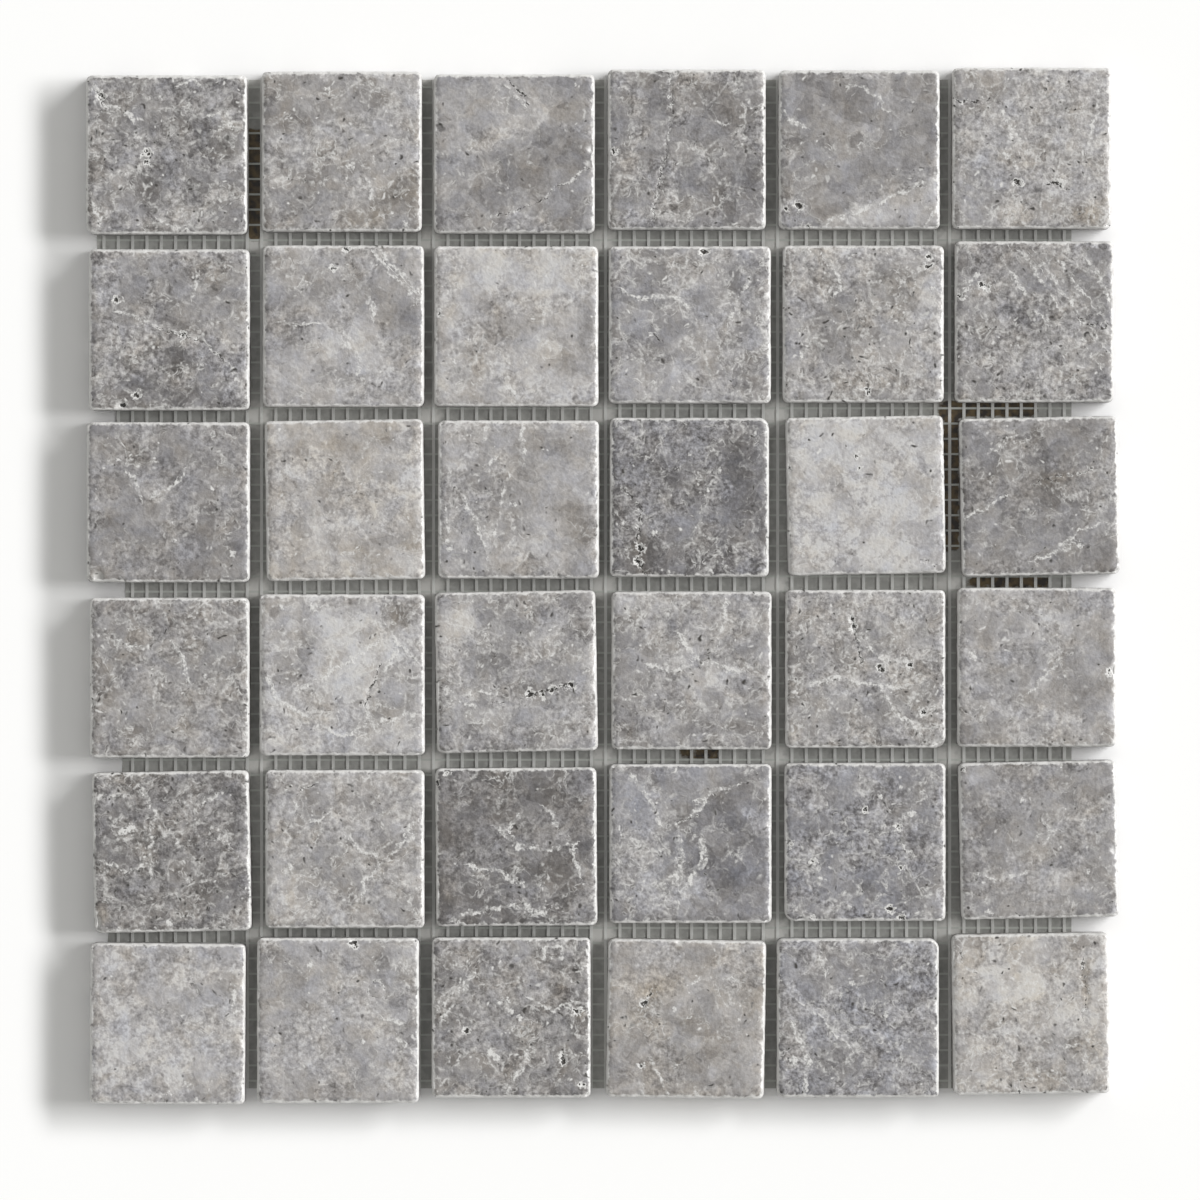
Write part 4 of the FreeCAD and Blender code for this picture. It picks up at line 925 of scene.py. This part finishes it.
def tumbled_marble(look):
    """Grey brecciated marble, tumbled with grit: smooth lumps lie in a paler, crushed ground that fine white
    veins net, the faces are matt and finely pitted, and the edges are satin and pale, partly rubbed pale and
    partly a painted highlight."""
    material, tree = new_material("tumbled_grey_marble")
    stone, mild, bent = stone_places(tree)
    fields = tile_fields(tree)
    tone, hue, net_share = fields["stain"]
    lump_gap, lump_tone, grit = fields["lump_field"]
    holes = fields["hole_field"]
    layers = stone_layers(tree, stone, bent)
    pieces, grain_gap, seam = crushed_pieces(tree, mild, bent)
    brink, lump = smooth_lumps(tree, layers, lump_gap, net_share)
    level = stone_level(tree, layers, pieces, tone, grit, lump, lump_tone)
    colour = stone_colour(tree, look, level, hue, layers["drift"][2])
    net_mask = add_node(tree, MATH, ADD, {0: layers["cloud"][2], 1: net_share}).outputs[0]
    lines = calcite_lines(tree, layers, seam, brink, net_mask)
    strands = drawn_strands(tree, layers, fields)
    spots = pits_and_grains(tree, layers, pieces, grain_gap, holes, net_mask)
    rim_wear_and_highlight = pale_rim_and_painted_highlight(tree, layers, holes[2])

    pale_marks = strands["vein"]
    for part in (strands["flank"], spots["ring"], spots["grain"]):
        pale_marks = add_node(tree, MATH, MAXIMUM, {0: pale_marks, 1: part}).outputs[0]
    sunk_marks = add_node(tree, MATH, MAXIMUM, {0: spots["pit"], 1: strands["crack"]}).outputs[0]
    pale_parts = add_node(tree, MATH, MAXIMUM, {0: pale_marks, 1: lines}).outputs[0]
    pale_parts = add_node(tree, MATH, MAXIMUM, {0: pale_parts, 1: spots["crystal"]}).outputs[0]
    dark_parts = add_node(tree, MATH, MAXIMUM, {0: sunk_marks, 1: spots["pore"]}).outputs[0]
    # The pale rim band is partly worn stone and partly painted highlight
    for amount, paint in ((rim_wear_and_highlight, look.rim_wear_and_highlight), (pale_parts, look.vein), (dark_parts, look.pit)):
        colour = add_node(tree, MIX, COLOURS, {0: amount, 6: colour, 7: (*paint, 1.0)}).outputs[2]

    # Relief: grit marks and speckle stand in tenths of a millimetre, veins proud, pits and cracks sunk
    relief = add_node(tree, MATH, MULTIPLY_ADD,
                      {0: layers["fleck"][0], 1: 0.9, 2: layers["speckle"][0]}).outputs[0]
    relief = add_node(tree, MATH, MULTIPLY_ADD, {0: pale_marks, 1: 0.5, 2: relief}).outputs[0]
    relief = add_node(tree, MATH, MULTIPLY_ADD, {0: sunk_marks, 1: -1.5, 2: relief}).outputs[0]
    bump = add_node(tree, "ShaderNodeBump", {}, {"Height": relief, "Strength": 0.6, "Distance": 0.22 * MM})

    # Matt face, satin edges where stone rubbed on stone
    rough = add_node(tree, MAP_RANGE, {}, {"Value": rim_wear_and_highlight, "From Max": 0.7, "To Min": 0.6,
                                           "To Max": 0.32}).outputs[0]
    shader = add_node(tree, "ShaderNodeBsdfPrincipled", {},
                      {"Base Color": colour, "Roughness": rough, "IOR": 1.5, "Normal": bump.outputs[0]})
    add_node(tree, "ShaderNodeOutputMaterial", {}, {"Surface": shader.outputs[0]})
    return material


def coated_yarn(look):
    """Glass-fibre yarn set in clear resin: pale, slightly glossy, with fibres along the yarn."""
    material, tree = new_material("resin_coated_glass_yarn")
    place = add_node(tree, "ShaderNodeTexCoord").outputs["Object"]
    height = add_node(tree, SPLIT, {}, {0: place}).outputs[2]
    is_warp = add_node(tree, MATH, {"operation": "GREATER_THAN"},
                       {0: height, 1: WARP_HEIGHT * MM}).outputs[0]
    # Fibres are hundredths of a millimetre thick. They are drawn as streaks of 0.2 mm, which show
    streaks = []
    for stretch in ((0.04, 1.0, 1.0), (1.0, 0.04, 1.0)):
        turned = add_node(tree, "ShaderNodeMapping", {}, {"Vector": place, "Scale": stretch}).outputs[0]
        streaks.append(add_node(tree, NOISE, {}, {"Vector": turned, "Scale": per_mm(0.2),
                                                  "Detail": 2.0}).outputs["Fac"])
    fibre = add_node(tree, MIX, {}, {0: is_warp, 2: streaks[0], 3: streaks[1]}).outputs[0]
    resin = add_node(tree, NOISE, {}, {"Vector": place, "Scale": per_mm(3), "Detail": 2.0}).outputs["Fac"]
    bare = add_node(tree, MATH, MULTIPLY_ADD, {0: resin, 1: 0.6, 2: fibre}).outputs[0]
    bare = add_node(tree, MAP_RANGE, {}, {"Value": bare, "From Min": 0.6, "From Max": 1.05}).outputs[0]
    colour = add_node(tree, MIX, COLOURS, {0: bare, 6: (*look.resin, 1.0), 7: (*look.yarn, 1.0)}).outputs[2]
    colour = add_node(tree, MIX, COLOURS, {0: is_warp, 6: (*look.weft, 1.0), 7: colour}).outputs[2]
    bump = add_node(tree, "ShaderNodeBump", {}, {"Height": fibre, "Strength": 0.5, "Distance": 0.05 * MM})
    shader = add_node(tree, "ShaderNodeBsdfPrincipled", {},
                      {"Base Color": colour, "Roughness": 0.38, "IOR": 1.5, "Normal": bump.outputs[0]})
    add_node(tree, "ShaderNodeOutputMaterial", {}, {"Surface": shader.outputs[0]})
    return material


def adhesive_with_painted_shade_and_light(look):
    """Dried adhesive that closes the net's meshes: a grey, satin skin whose grey is partly painted shade, paler
    where four tiles meet as painted light, with brown stains."""
    material, tree = new_material("grey_adhesive_with_painted_shade_and_light")
    place = add_node(tree, "ShaderNodeTexCoord").outputs["Object"]
    cloud = add_node(tree, NOISE, {}, {"Vector": place, "Scale": per_mm(2.5), "Detail": 3.0})
    clouds = add_node(tree, SPLIT, {}, {0: cloud.outputs["Color"]}).outputs

    paints = []
    for value, first, second in (
            (clouds[1], look.film, look.film_thick),
            (clouds[2], look.stain_dark, look.stain)):
        share = add_node(tree, MAP_RANGE, {}, {"Value": value, "From Min": 0.38,
                                               "From Max": 0.62}).outputs[0]
        paints.append(add_node(tree, MIX, COLOURS,
                               {0: share, 6: (*first, 1.0), 7: (*second, 1.0)}).outputs[2])
    clean, stained = paints

    # The painted light at crossings and the stains have ragged brinks
    areas = {}
    for name, attribute, channel, push, from_gap, to_gap in (
            ("crossing_light", "crossing_light_gap", 2, 4.0, 1.2, 3.2),
            ("stain", "stain_gap", 0, 2.0, 0.8, 1.3)):
        gap = add_node(tree, ATTRIBUTE, {"attribute_name": attribute}).outputs["Fac"]
        gap = add_node(tree, MATH, MULTIPLY_ADD, {0: clouds[channel], 1: push, 2: gap}).outputs[0]
        areas[name] = add_node(tree, MAP_RANGE, {}, {"Value": gap, "From Min": from_gap, "From Max": to_gap,
                                                     "To Min": 1.0, "To Max": 0.0}).outputs[0]
    # Painted light round each crossing of the joints
    colour = add_node(tree, MIX, COLOURS, {0: areas["crossing_light"], 6: clean, 7: (*look.painted_crossing_light, 1.0)}).outputs[2]
    colour = add_node(tree, MIX, COLOURS, {0: areas["stain"], 6: colour, 7: stained}).outputs[2]

    bump = add_node(tree, "ShaderNodeBump", {},
                    {"Height": clouds[1], "Strength": 0.5, "Distance": 0.1 * MM})
    shader = add_node(tree, "ShaderNodeBsdfPrincipled", {},
                      {"Base Color": colour, "Roughness": 0.45, "IOR": 1.46, "Normal": bump.outputs[0]})
    add_node(tree, "ShaderNodeOutputMaterial", {}, {"Surface": shader.outputs[0]})
    return material


# Lengths in millimetres. A tile's outline is read off its wall, this far from its back and its face
WALL_FROM_BACK = 0.5
WALL_FROM_FACE = 0.8
# Vertices this near each other are one
DOUBLES = 0.001
# A tile's back is what lies this near its lowest point, and it keeps this share of its faces
BACK_FLATNESS = 0.05
BACK_SHARE = 0.05
# Widths of the hollows in a face and of the nibbles along its edges, and how far in these reach
HOLLOW_SIZE = 11.0
NIBBLE_SIZE = 2.4
EDGE_REACH = 1.8
# Length of the waves in lines that are listed, and how far they swing
WAVER_SIZE = 5.0
WAVER_REACH = 0.8
# Depth of pits and of cracks, and of a chip as a share of its radius
PIT_DEPTH = 0.7
CRACK_DEPTH = 0.3
CHIP_DEPTH = 0.5
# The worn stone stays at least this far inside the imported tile, but for its back
SKIN = 0.02
# What has no mark near is taken to be this far from one, and the materials are told of marks this near
FAR = 9.0
FIELD_REACH = 4.0
# The net's left edge is read in bands of this height
EDGE_BAND = 6.0

# Lumps are set this much lighter or darker than their marks say
LUMP_CONTRAST = 1.5
# What the middle of a patch adds to the tone, the hue and the net of veins
PATCHES = {"pale": (0.13, 0.0, 0.0), "dark": (-0.13, 0.0, 0.0), "warm": (0.0, 0.7, 0.0),
           "blue": (-0.03, -0.8, 0.0), "brown": (-0.1, 1.6, 0.0), "olive": (-0.08, 2.2, 0.0),
           "net": (0.0, 0.0, 0.6)}


def photo_place(pixel):
    """A pixel of the photograph as millimetres in the sheet's frame."""
    return ((pixel[0] - SHEET_MIDDLE[0]) / PIXELS_PER_MM, (SHEET_MIDDLE[1] - pixel[1]) / PIXELS_PER_MM)


def tile_places():
    """Row and column of every tile."""
    return [(row, column) for row in range(1, ROWS + 1) for column in range(1, COLUMNS + 1)]


def net_panels():
    """The nodes that the net is made of."""
    return [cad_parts[f"net_{across}_{up}"]
            for across in range(1, PANELS_ACROSS + 1) for up in range(1, PANELS_UP + 1)]


def deselect_all():
    """Leave edit mode and select nothing."""
    if bpy.context.object and bpy.context.object.mode != "OBJECT":
        bpy.ops.object.mode_set(mode="OBJECT")
    bpy.ops.object.select_all(action="DESELECT")


def select_vertices(piece, chosen):
    """Select these vertices of the active mesh, which is then in edit mode."""
    bpy.ops.object.mode_set(mode="EDIT")
    bpy.ops.mesh.select_mode(type="VERT")
    bpy.ops.mesh.select_all(action="DESELECT")
    bpy.ops.object.mode_set(mode="OBJECT")
    piece.data.vertices.foreach_set("select", chosen)
    bpy.ops.object.mode_set(mode="EDIT")


def mesh_points(piece):
    """The vertices of a mesh in millimetres, one row each."""
    points = np.empty(len(piece.data.vertices) * 3)
    piece.data.vertices.foreach_get("co", points)
    return points.reshape(-1, 3) / MM


def tile_outline(node):
    """Corners of a tile's outline in millimetres, in order round its middle, and the height of its face."""
    points = mesh_points(node)
    low, high = points[:, 2].min(), points[:, 2].max()
    wall = points[(points[:, 2] > low + WALL_FROM_BACK) & (points[:, 2] < high - WALL_FROM_FACE)][:, :2]
    wall = np.unique(wall.round(3), axis=0)
    middle = (wall.min(0) + wall.max(0)) / 2
    angle = np.arctan2(wall[:, 1] - middle[1], wall[:, 0] - middle[0])
    return wall[np.argsort(angle)], high


def measure_line(points, line):
    """Distance from each point to a line through corners, with its sign on the line's left and right."""
    best = np.full(len(points), np.inf)
    signed = np.zeros(len(points))
    for first, last in zip(line, line[1:]):
        first, last = np.array(first), np.array(last)
        run = last - first
        share = np.clip(((points - first) @ run) / max(run @ run, 1e-9), 0, 1)
        off = points - (first + share[:, None] * run)
        gap = np.hypot(off[:, 0], off[:, 1])
        side = np.sign(run[0] * (points[:, 1] - first[1]) - run[1] * (points[:, 0] - first[0]))
        nearer = gap < best
        best[nearer] = gap[nearer]
        signed[nearer] = (gap * side)[nearer]
    return best, signed


def outline_gap(points, outline):
    """Distance from each point to a closed outline, less than nothing inside it."""
    gap, _ = measure_line(points, list(outline) + [outline[0]])
    inside = np.zeros(len(points), bool)
    for first, last in zip(outline, np.roll(outline, -1, axis=0)):
        spans = (first[1] > points[:, 1]) != (last[1] > points[:, 1])
        rise = last[1] - first[1]
        crossing = first[0] + (points[:, 1] - first[1]) / (rise if rise else 1.0) * (last[0] - first[0])
        inside ^= spans & (points[:, 0] < crossing)
    return np.where(inside, -gap, gap)


def box_gap(points, corner, opposite):
    """Distance from each point to an upright box of the photograph, less than nothing inside it."""
    left, upper = photo_place(corner)
    right, lower = photo_place(opposite)
    beside = np.maximum(left - points[:, 0], points[:, 0] - right)
    return np.maximum(beside, np.maximum(lower - points[:, 1], points[:, 1] - upper))


def measure_mark(points, pixels):
    """Distance from each point to a mark, which is one point or a line, with its sign for a line."""
    line = [photo_place(pixel) for pixel in pixels]
    if len(line) == 1:
        gap = np.hypot(points[:, 0] - line[0][0], points[:, 1] - line[0][1])
        return gap, gap
    return measure_line(points, line)


def wave(points, size, octaves, shift):
    """Fractal noise at each point, about -1 to 1, with this size of wave in millimetres."""
    return np.array([noise.fractal(Vector(p), 1.0, 2.0, octaves) for p in (points + shift) / size])


def put_attribute(mesh, name, kind, values):
    """Give each vertex a number or three that a material reads by name."""
    layer = mesh.attributes.new(name, kind, "POINT")
    field = "value" if kind == "FLOAT" else "vector"
    layer.data.foreach_set(field, np.ascontiguousarray(values, np.float32).ravel())


def smoothed(value, low, high):
    """0 at low, 1 at high, and a soft step between, where low may be the larger of the two."""
    share = np.clip((value - low) / (high - low), 0, 1)
    return share * share * (3 - 2 * share)


def remesh_copy(node, name, voxel):
    """A copy of a tile with its doubles merged and its surface divided evenly, but coarsely on its back."""
    tile = bpy.data.objects.new(name, node.data.copy())
    bpy.context.scene.collection.objects.link(tile)
    deselect_all()
    tile.select_set(True)
    bpy.context.view_layer.objects.active = tile
    bpy.ops.object.mode_set(mode="EDIT")
    bpy.ops.mesh.select_all(action="SELECT")
    bpy.ops.mesh.remove_doubles(threshold=DOUBLES * MM)
    bpy.ops.object.mode_set(mode="OBJECT")
    bpy.ops.object.modifier_add(type="REMESH")
    remesh = tile.modifiers[-1]
    remesh.mode = "VOXEL"
    remesh.voxel_size = voxel
    bpy.ops.object.modifier_apply(modifier=remesh.name)
    # The back lies flat on the net and needs few faces
    height = mesh_points(tile)[:, 2]
    select_vertices(tile, height < height.min() + BACK_FLATNESS)
    bpy.ops.mesh.decimate(ratio=BACK_SHARE)
    bpy.ops.object.mode_set(mode="OBJECT")
    bpy.ops.object.shade_smooth()
    return tile


def draw_chips(draw, outline, look, marks):
    """Place and radius of each chip: small ones anywhere round the outline, then those that are marked."""
    chips = []
    for _ in range(look.chips):
        index = draw.randrange(len(outline))
        share = draw.random()
        spot = outline[index] * (1 - share) + outline[(index + 1) % len(outline)] * share
        chips.append((spot, look.chip_radius / MM * (0.45 + 0.55 * draw.random() ** 2)))
    return chips + [(photo_place(pixels[0]), size) for kind, size, pixels in marks if kind == "chip"]


def read_marks(flat, marks, stain):
    """Distance from each point to the nearest lump, vein, crack, pit and spot, and what those say there.

    A patch has no brink: it is added to the tone, the hue and the net of veins in stain.
    """
    count = len(flat)
    far = np.full(count, FAR)
    lump_gap, lump_tone = far.copy(), np.zeros(count)
    lines = {kind: (far.copy(), far.copy(), np.zeros(count)) for kind in ("vein", "crack")}
    holes = {kind: far.copy() for kind in ("pit", "spot")}
    for kind, size, pixels in marks:
        if kind == "lump":
            gap = outline_gap(flat, np.array([photo_place(pixel) for pixel in pixels]))
            nearer = gap < lump_gap
            lump_gap[nearer], lump_tone[nearer] = gap[nearer], LUMP_CONTRAST * size
            continue
        gap, signed = measure_mark(flat, pixels)
        if kind in lines:
            nearest, side, half = lines[kind]
            nearer = gap < nearest
            nearest[nearer], side[nearer], half[nearer] = gap[nearer], signed[nearer], size / 2
        elif kind in holes:
            holes[kind] = np.minimum(holes[kind], gap - size)
        elif kind in PATCHES:
            stain += np.exp(-(gap / size) ** 2)[:, None] * PATCHES[kind]
    return lump_gap, lump_tone, lines, holes


def wear_tile(tile, node, row, column, look):
    """Tumble a tile: hollows, nibbled edges, chips, pits and cracks, and what its finish reads."""
    mesh = tile.data
    points = mesh_points(tile)
    count = len(points)
    normals = np.empty(count * 3)
    mesh.vertices.foreach_get("normal", normals)
    normals = normals.reshape(-1, 3)
    outline, top = tile_outline(node)
    flat = points[:, :2]
    rim_gap, _ = measure_line(flat, list(outline) + [outline[0]])
    below_top = np.clip(top - points[:, 2], 0, None)
    marks = MARKS[(row, column)]
    draw = random.Random(look.seed * 1000 + row * 10 + column)
    shift = np.array([draw.uniform(-500, 500) for _ in range(3)])

    worn = look.face_wave / MM * 0.5 * (1 + np.clip(wave(points, HOLLOW_SIZE, 2, shift), -1, 1))
    edge = np.exp(-((rim_gap ** 2 + below_top ** 2) / EDGE_REACH ** 2))
    nibble = np.clip(0.35 + wave(points, NIBBLE_SIZE, 3, shift), 0, 1.4)
    worn += edge * look.edge_wear / MM * nibble
    # The face falls off from 2.2 mm before its edge
    worn += look.edge_round / MM * smoothed(rim_gap, 2.2, 0.4) * smoothed(below_top, 1.0, 0.2)

    chipped = np.zeros(count)
    for spot, radius in draw_chips(draw, outline, look, marks):
        gap = np.sqrt((flat[:, 0] - spot[0]) ** 2 + (flat[:, 1] - spot[1]) ** 2 + (below_top * 0.8) ** 2)
        dent = np.clip(1 - (gap / radius) ** 2, 0, 1)
        worn += CHIP_DEPTH * radius * dent
        chipped = np.maximum(chipped, smoothed(dent, 0.0, 0.5))

    tone_word, hue_word, net_word = LOOKS[row - 1][column - 1].split()
    net_share, grit = NETS[net_word]
    stain = np.tile((TONES[tone_word], HUES[hue_word], net_share), (count, 1))
    # Marks are read at points that are pushed about a little, so that drawn lines come out uneven
    push = np.column_stack([wave(points, WAVER_SIZE, 2, shift + turn) for turn in (100.0, 200.0)])
    lump_gap, lump_tone, lines, holes = read_marks(flat + push * WAVER_REACH, marks, stain)
    # Marks are on the face and its rounded edges, and fade from 1 mm to 2.5 mm below its top
    face = smoothed(below_top, 2.5, 1.0)
    worn += face * PIT_DEPTH * smoothed(holes["pit"], 0.3, -0.5)
    worn += face * CRACK_DEPTH * smoothed(lines["crack"][0], 0.8, 0.1)

    # The back rests on the net and is not worn
    resting = smoothed(points[:, 2] - points[:, 2].min(), 0.0, 1.0)
    worn = (worn + SKIN) * resting
    points -= normals * worn[:, None]
    mesh.vertices.foreach_set("co", (points * MM).ravel())
    mesh.update()

    put_attribute(mesh, "stone_shift", "FLOAT_VECTOR", np.tile(shift * MM, (count, 1)))
    put_attribute(mesh, "stain", "FLOAT_VECTOR", stain)
    # The pale rim band fades down the walls
    wall = np.clip(below_top - 1.0, 0, None)
    put_attribute(mesh, "rim_gap", "FLOAT", np.clip(rim_gap + 0.5 * wall, 0, FAR))
    put_attribute(mesh, "lump_field", "FLOAT_VECTOR",
                  np.column_stack((np.clip(lump_gap, -FIELD_REACH, FIELD_REACH), lump_tone,
                                   np.full(count, grit))))
    for kind, (nearest, side, half) in lines.items():
        near = smoothed(nearest, 2.2, 1.2) * face
        put_attribute(mesh, f"{kind}_field", "FLOAT_VECTOR",
                      np.column_stack((np.clip(side, -FIELD_REACH, FIELD_REACH), near, half)))
    pit, spot = [np.clip(holes[kind], -2, FIELD_REACH) + FIELD_REACH * (1 - face)
                 for kind in ("pit", "spot")]
    put_attribute(mesh, "hole_field", "FLOAT_VECTOR", np.column_stack((pit, spot, chipped)))


def left_edge(strands, heights):
    """Where the net's left edge, which is cut hollow, lies at these heights."""
    low = strands[:, 1].min()
    bands = ((strands[:, 1] - low) / EDGE_BAND).astype(int)
    edge = np.array([strands[bands == band][:, 0].min() for band in range(bands.max() + 1)])
    return np.interp(heights, low + EDGE_BAND * (np.arange(len(edge)) + 0.5), edge)


class MOSAIC_OT_tiles(bpy.types.Operator):
    """Make the 36 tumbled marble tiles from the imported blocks"""
    bl_idname = "mosaic.tiles"
    bl_label = "Tumbled tiles"

    def execute(self, context):
        look = context.scene.mosaic_stone
        marble = tumbled_marble(look)
        for row, column in tile_places():
            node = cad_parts[f"tile_r{row}_c{column}"]
            tile = remesh_copy(node, f"stone_r{row}_c{column}", look.voxel)
            wear_tile(tile, node, row, column, look)
            tile.data.materials.clear()
            tile.data.materials.append(marble)
            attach(tile, "root")
            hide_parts(node.name)
        return {"FINISHED"}


class MOSAIC_OT_net(bpy.types.Operator):
    """Give the backing net its resin-coated glass yarn"""
    bl_idname = "mosaic.net"
    bl_label = "Backing net"

    def execute(self, context):
        yarn = coated_yarn(context.scene.mosaic_net)
        for panel in net_panels():
            for place in panel.material_slots:
                place.material = yarn
        return {"FINISHED"}


class MOSAIC_OT_film(bpy.types.Operator):
    """Make the adhesive film that closes the net's meshes in the joints; its grey is partly painted shade"""
    bl_idname = "mosaic.film"
    bl_label = "Adhesive film"

    def execute(self, context):
        look = context.scene.mosaic_net
        strands = np.concatenate([mesh_points(panel) for panel in net_panels()])
        low, high = strands.min(0), strands.max(0)
        cells = np.ceil((high - low)[:2] / (look.film_cell / MM)).astype(int)
        deselect_all()
        bpy.ops.mesh.primitive_grid_add(x_subdivisions=int(cells[0]), y_subdivisions=int(cells[1]), size=1)
        film = context.active_object
        film.name = "adhesive_film_with_painted_shade"
        # The grid, one metre square and round the origin, is laid between the net's edges
        across, along, _ = (mesh_points(film) * MM + 0.5).T
        along = low[1] + along * (high - low)[1]
        left = left_edge(strands, along)
        points = np.column_stack((left + across * (high[0] - left), along,
                                  np.full(len(across), look.film_height / MM)))
        film.data.vertices.foreach_set("co", (points * MM).ravel())
        film.data.update()

        # What lies well under a tile is taken out. Each square with a corner there goes with it,
        # so the bound is one square further in
        inside = np.full(len(points), -FAR)
        for row, column in tile_places():
            outline, _ = tile_outline(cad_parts[f"tile_r{row}_c{column}"])
            inside = np.maximum(inside, -outline_gap(points[:, :2], outline))
        select_vertices(film, inside > (look.film_lap + look.film_cell) / MM)
        bpy.ops.mesh.delete(type="VERT")
        bpy.ops.object.mode_set(mode="OBJECT")
        bpy.ops.object.modifier_add(type="SOLIDIFY")
        wall = film.modifiers[-1]
        wall.thickness = look.film_thickness
        bpy.ops.object.modifier_apply(modifier=wall.name)

        flat = mesh_points(film)[:, :2]
        stain_gap = np.full(len(flat), FAR)
        for corner, opposite in FILM_STAINS:
            stain_gap = np.minimum(stain_gap, box_gap(flat, corner, opposite))
        put_attribute(film.data, "stain_gap", "FLOAT", stain_gap)
        # Four tiles meet at whole pitches from the sheet's middle, and painted light lies there
        off = np.abs((flat + TILE_PITCH / 2) % TILE_PITCH - TILE_PITCH / 2)
        put_attribute(film.data, "crossing_light_gap", "FLOAT", off.max(1) - look.crossing_light_reach / MM)
        film.data.materials.append(adhesive_with_painted_shade_and_light(look))
        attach(film, "root")
        return {"FINISHED"}


# In metres: where the lamps are hung, which changes nothing in their light, and how far the camera sees
LAMP_DISTANCE = 2.0
SIGHT = 50.0


class MOSAIC_OT_stage(bpy.types.Operator):
    """Set the pale floor, the light and the camera of the photograph"""
    bl_idname = "mosaic.stage"
    bl_label = "Stage"

    def execute(self, context):
        stage = context.scene.mosaic_stage
        deselect_all()
        bpy.ops.mesh.primitive_plane_add(size=stage.floor_side, location=(0, 0, 0))
        floor = context.active_object
        floor.name = "floor"
        # White, matt and without shine, it takes the soft shadow
        material, tree = new_material("matt_pale_floor")
        shader = add_node(tree, "ShaderNodeBsdfPrincipled", {},
                          {"Base Color": (*stage.floor, 1.0), "Roughness": 0.9, "Specular IOR Level": 0.0})
        add_node(tree, "ShaderNodeOutputMaterial", {}, {"Surface": shader.outputs[0]})
        floor.data.materials.append(material)

        # A broad window: five lamps side by side, so that shadows open like a fan
        steps = (-2, -1, 0, 1, 2)
        for step in steps:
            azimuth = stage.key_azimuth + step * stage.key_fan
            toward = Vector((math.cos(stage.key_height) * math.cos(azimuth),
                             math.cos(stage.key_height) * math.sin(azimuth),
                             math.sin(stage.key_height)))
            lamp = bpy.data.lights.new("key", "SUN")
            lamp.energy = stage.key / len(steps)
            lamp.angle = stage.key_spread
            key = bpy.data.objects.new("key", lamp)
            key.rotation_euler = toward.to_track_quat("Z", "Y").to_euler()
            key.location = toward * LAMP_DISTANCE
            context.scene.collection.objects.link(key)

        # An even sky lights the sheet, and what looks past the floor sees white
        world = bpy.data.worlds.new("even_sky")
        world.use_nodes = True
        tree = world.node_tree
        tree.nodes.clear()
        ray = add_node(tree, "ShaderNodeLightPath")
        seen = ray.outputs["Is Camera Ray"]
        for kind in ("Is Glossy Ray", "Is Transmission Ray"):
            seen = add_node(tree, MATH, MAXIMUM, {0: seen, 1: ray.outputs[kind]}).outputs[0]
        strength = add_node(tree, MAP_RANGE, {}, {"Value": seen, "To Min": stage.fill, "To Max": 1.0})
        tint = add_node(tree, MIX, COLOURS, {0: seen, 6: (*stage.sky, 1.0), 7: (1, 1, 1, 1)})
        sky = add_node(tree, "ShaderNodeBackground", {},
                       {"Color": tint.outputs[2], "Strength": strength.outputs[0]})
        add_node(tree, "ShaderNodeOutputWorld", {}, {"Surface": sky.outputs[0]})
        context.scene.world = world

        camera_data = bpy.data.cameras.new("camera")
        frame_side = PHOTO_SIDE / PIXELS_PER_MM * MM
        camera_data.lens = camera_data.sensor_width * stage.camera_height / frame_side
        camera_data.clip_end = SIGHT
        camera = bpy.data.objects.new("camera", camera_data)
        across, up = photo_place((PHOTO_SIDE / 2, PHOTO_SIDE / 2))
        camera.location = (across * MM, up * MM, CAD_BOX[1][2] + stage.camera_height)
        context.scene.collection.objects.link(camera)
        context.scene.camera = camera
        context.scene.view_settings.view_transform = "Standard"
        return {"FINISHED"}


class MOSAIC_PT_panel(bpy.types.Panel):
    """Lists the pieces of the sheet with their settings"""
    bl_idname = "MOSAIC_PT_panel"
    bl_label = "Mosaic sheet"
    bl_space_type = "VIEW_3D"
    bl_region_type = "UI"
    bl_category = "Mosaic"

    def draw(self, context):
        for settings_name, operators in (("mosaic_stone", ("mosaic.tiles",)),
                                         ("mosaic_net", ("mosaic.net", "mosaic.film")),
                                         ("mosaic_stage", ("mosaic.stage",))):
            box = self.layout.box()
            settings = getattr(context.scene, settings_name)
            for name in settings.__annotations__:
                box.prop(settings, name)
            for operator in operators:
                box.operator(operator)


CLASSES = (StoneSettings, NetSettings, StageSettings, MOSAIC_OT_tiles, MOSAIC_OT_net, MOSAIC_OT_film,
           MOSAIC_OT_stage, MOSAIC_PT_panel)


def register():
    for item in CLASSES:
        bpy.utils.register_class(item)
    bpy.types.Scene.mosaic_stone = bpy.props.PointerProperty(type=StoneSettings)
    bpy.types.Scene.mosaic_net = bpy.props.PointerProperty(type=NetSettings)
    bpy.types.Scene.mosaic_stage = bpy.props.PointerProperty(type=StageSettings)


def unregister():
    del bpy.types.Scene.mosaic_stage
    del bpy.types.Scene.mosaic_net
    del bpy.types.Scene.mosaic_stone
    for item in reversed(CLASSES):
        bpy.utils.unregister_class(item)


def main():
    register()
    bpy.ops.mosaic.tiles()
    bpy.ops.mosaic.net()
    bpy.ops.mosaic.film()
    bpy.ops.mosaic.stage()
    bpy.context.view_layer.update()


if __name__ == "__main__":
    main()
